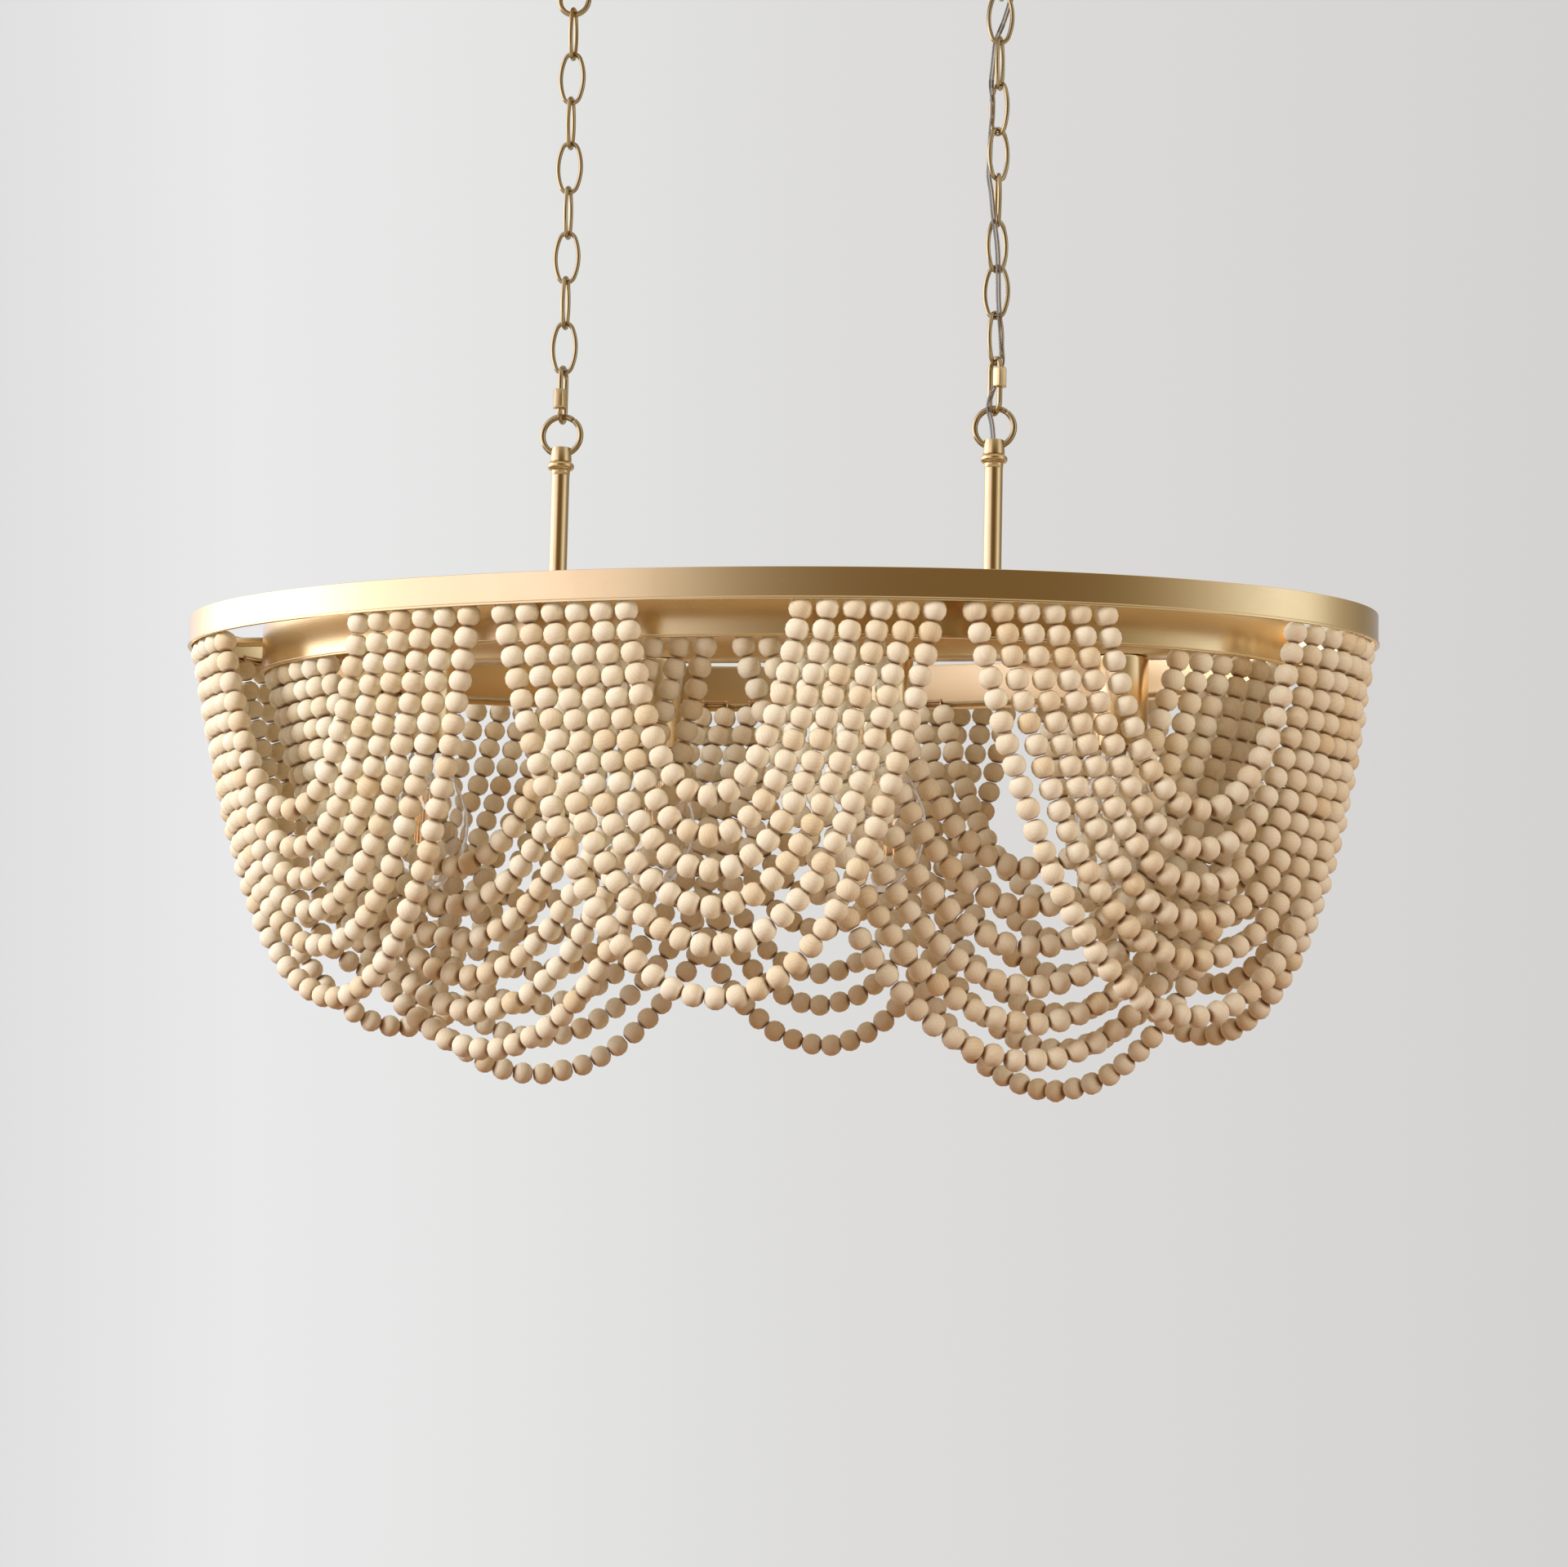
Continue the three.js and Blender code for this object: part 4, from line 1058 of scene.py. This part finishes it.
def makeSwags():
    template = beadTemplate()
    for name in ("outer", "inner"):
        group = swags[name]
        top = bands[name]["bottom"] - swags["topGap"]
        for title, middle, half in swagPlaces(name):
            chance = random.Random(f"{name} {title}")
            drops = group["drops"].get(title, (0,) * swags["strands"])
            depths = [depth + drop for depth, drop in zip(group["depths"], drops)]
            shape = swagShape(name, middle, half, depths, top, group["leans"][title], chance, template)
            makePiece(f"{name}_beads_{title}", shape, [beadWood], "frame",
                      [f"{name}_swag_{title}"], sharp=180, weld=0)
    bpy.data.meshes.remove(template)


makeSwags()
print("beads made")


# Wire staples over the rails: each joins the tops of two neighbouring strands, and the end ones stand
# across the rail
staple = {"bar": 0.0008, "ball": 0.0014, "inward": 0.0026, "rise": 0.0006, "drop": 0.003}


def staplePairs(half):
    reaches = [half + strand * swags["strandPitch"] for strand in range(swags["strands"])]
    pairs = [(-near, -far) for near, far in zip(reaches[1::2], reaches[2::2])]
    pairs += list(zip(reaches[0::2], reaches[1::2]))
    return pairs + [(-half, -half), (-reaches[-1], -reaches[-1])]


def makeStaples():
    for name in ("outer", "inner"):
        shape = bmesh.new()
        height = bands[name]["bottom"] + rail["height"] + rail["wire"] + staple["rise"]
        foot = bands[name]["bottom"] - swags["topGap"] - staple["drop"]
        for title, middle, half in swagPlaces(name):
            for near, far in staplePairs(half):
                side = 1 if near == far else -1
                points = [railSpot(name, middle + distance, sign * staple["inward"], low)
                          for distance, sign, low in ((near, -1, foot), (near, -1, height),
                                                      (far, side, height), (far, side, foot))]
                fine = []
                for before, after in zip(points, points[1:]):
                    fine += [before.lerp(after, share) for share in (0.0, 0.15, 0.5, 0.85)]
                addPart(shape, drawWire(fine + [points[-1]], staple["bar"], 7, (0, 0, 1)))
                for spot in points[1:3]:
                    ball = bmesh.new()
                    bmesh.ops.create_uvsphere(ball, u_segments=10, v_segments=6, radius=staple["ball"])
                    addPart(shape, move(ball, Matrix.Translation(spot)))
        makePiece(f"{name}_staples", shape, [copperWire], "frame", weld=0)


makeStaples()
print("staples made")


# Pale floor far below, and a soft studio: the wall by place across the picture, the room by angle
studio = {
    "floor": -2.4, "floorSize": 12,
    "floorTones": (colour(0.74, 0.73, 0.71), colour(0.78, 0.77, 0.75)),
    "floorGlow": 0.7,
    "glowColour": colour(0.78, 0.78, 0.77),
    "bounce": colour(0.32, 0.16, 0.06),
    "wallReach": 0.2,
    "wall": [
        (-0.2, (0.74, 0.74, 0.74)), (-0.137, (0.82, 0.82, 0.82)), (-0.083, (0.79, 0.79, 0.785)),
        (0, (0.73, 0.725, 0.71)), (0.09, (0.7, 0.69, 0.675)), (0.2, (0.66, 0.65, 0.64)),
    ],
    "aside": colour(0.3, 0.125, 0.023),
    "above": colour(0.34, 0.215, 0.105),
    "aboveRise": (0.35, 0.85),
    "ceiling": colour(0.72, 0.72, 0.7),
    "ceilingRise": (0.35, 0.8),
    "ground": colour(0.5, 0.46, 0.4),
    "groundFall": (-0.3, -0.75), "roomGain": 4.0,
    "room": [
        (-180, (0.5, 0.5, 0.55)), (-120, (1.3, 1.35, 1.6)), (-98, (3.4, 3.4, 3.8)), (-70, (3.2, 3.2, 3.6)),
        (-54, (1.5, 1.5, 1.9)), (-28, (1.45, 1.4, 1.75)), (-19, (0.9, 0.9, 1.0)), (-9, (0.3, 0.25, 0.17)),
        (4, (0.18, 0.12, 0.055)), (34, (0.19, 0.13, 0.06)), (43, (0.3, 0.25, 0.16)), (56, (0.65, 0.63, 0.6)),
        (76, (1.2, 1.3, 1.5)), (88, (1.1, 1.2, 1.3)), (104, (0.5, 0.46, 0.4)), (130, (0.3, 0.27, 0.23)),
        (154, (0.38, 0.38, 0.42)), (180, (0.5, 0.5, 0.55)),
    ],
    "aim": (0, 0, -0.65),
    "lamps": {
        "windowLight": ((-2.5, -1.9, 0.3), 1.3, 110, (1, 1, 1)),
        "backFill": ((-0.9, 2.8, 0.3), 1.6, 50, (1, 0.9, 0.76)),
        "sideFill": ((2.6, -1.5, -0.2), 1.6, 42, (1, 0.95, 0.88)),
    },
}


# Masks of the rays that see the surroundings themselves, and of those that reflections send
def seenRays(tree):
    rays = addNode(tree, "ShaderNodeLightPath").outputs
    glossy = rays["Is Glossy Ray"]
    seen = maths(tree, "MAXIMUM", rays["Is Camera Ray"], rays["Is Transmission Ray"])
    return seen, glossy


# Seen from below, the floor is clear
def makeFloor():
    shape = bmesh.new()
    bmesh.ops.create_grid(shape, x_segments=1, y_segments=1, size=studio["floorSize"],
                          matrix=Matrix.Translation((0, 0, studio["floor"])))
    material, tree, shader = newMaterial("paleFloor")
    floor = newObject("floor", shape, [material])
    seen = maths(tree, "MAXIMUM", *seenRays(tree))
    pale = mixColour(tree, noise(tree, objectPlace(tree), 3, 4), *studio["floorTones"])
    feed(tree, shader, {"Base Color": mixColour(tree, seen, studio["bounce"], pale), "Roughness": 0.8})
    share = maths(tree, "MULTIPLY", seen, studio["floorGlow"])
    glow = addNode(tree, "ShaderNodeEmission", {0: studio["glowColour"]}).outputs[0]
    lit = addNode(tree, "ShaderNodeMixShader", {0: share, 1: shader.outputs[0], 2: glow}).outputs[0]
    clear = addNode(tree, "ShaderNodeBsdfTransparent").outputs[0]
    under = addNode(tree, "ShaderNodeNewGeometry").outputs["Backfacing"]
    sides = addNode(tree, "ShaderNodeMixShader", {0: under, 1: lit, 2: clear}).outputs[0]
    feed(tree, tree.nodes["Material Output"], {"Surface": sides})


def ramp(tree, value, stops):
    node = addNode(tree, "ShaderNodeValToRGB", {0: value})
    elements = node.color_ramp.elements
    elements[0].position, elements[0].color = stops[0]
    elements[-1].position, elements[-1].color = stops[-1]
    for spot, tone in stops[1:-1]:
        elements.new(spot).color = tone
    return node.outputs[0]


def makeWorld():
    world = bpy.data.worlds.new("studioRoom")
    scene.world = world
    world.use_nodes = True
    tree = world.node_tree
    direction = addNode(tree, "ShaderNodeTexCoord").outputs["Generated"]
    x, y, z = addNode(tree, "ShaderNodeSeparateXYZ", {0: direction}).outputs
    turned = remap(tree, maths(tree, "ARCTAN2", x, maths(tree, "MULTIPLY", y, -1)), -pi, pi)
    gain, reach = studio["roomGain"], studio["wallReach"]
    stops = [((angle + 180) / 360, colour(*[part / gain for part in tone])) for angle, tone in studio["room"]]
    gained = mixColour(tree, 1, ramp(tree, turned, stops), colour(gain, gain, gain), "MULTIPLY")
    raised = mixColour(tree, remap(tree, z, *studio["ceilingRise"]), gained, studio["ceiling"])
    room = mixColour(tree, remap(tree, z, *studio["groundFall"]), raised, studio["ground"])
    sideways = addNode(tree, "ShaderNodeVectorMath", {0: direction, 1: cameraSide}, operation="DOT_PRODUCT")
    across = remap(tree, sideways.outputs["Value"], -reach, reach)
    stops = [((place + reach) / (2 * reach), colour(*tone)) for place, tone in studio["wall"]]
    wall = ramp(tree, across, stops)
    seen, glossy = seenRays(tree)
    soft = mixColour(tree, remap(tree, z, *studio["aboveRise"]), studio["aside"], studio["above"])
    lit = mixColour(tree, glossy, soft, room)
    feed(tree, tree.nodes["Background"], {"Color": mixColour(tree, seen, lit, wall)})


def makeLights():
    for name, (place, size, power, tint) in studio["lamps"].items():
        data = bpy.data.lights.new(name, "AREA")
        data.shape = "RECTANGLE"
        data.size = data.size_y = size
        data.energy = power
        data.color = tint
        light = bpy.data.objects.new(name, data)
        scene.collection.objects.link(light)
        light.location = place
        light.rotation_euler = (Vector(studio["aim"]) - light.location).to_track_quat("-Z", "Y").to_euler()
        light.visible_camera = False
        light.visible_glossy = False
        light.visible_transmission = False


makeFloor()
makeWorld()
makeLights()
scene.view_settings.view_transform = "Standard"
print("studio made")
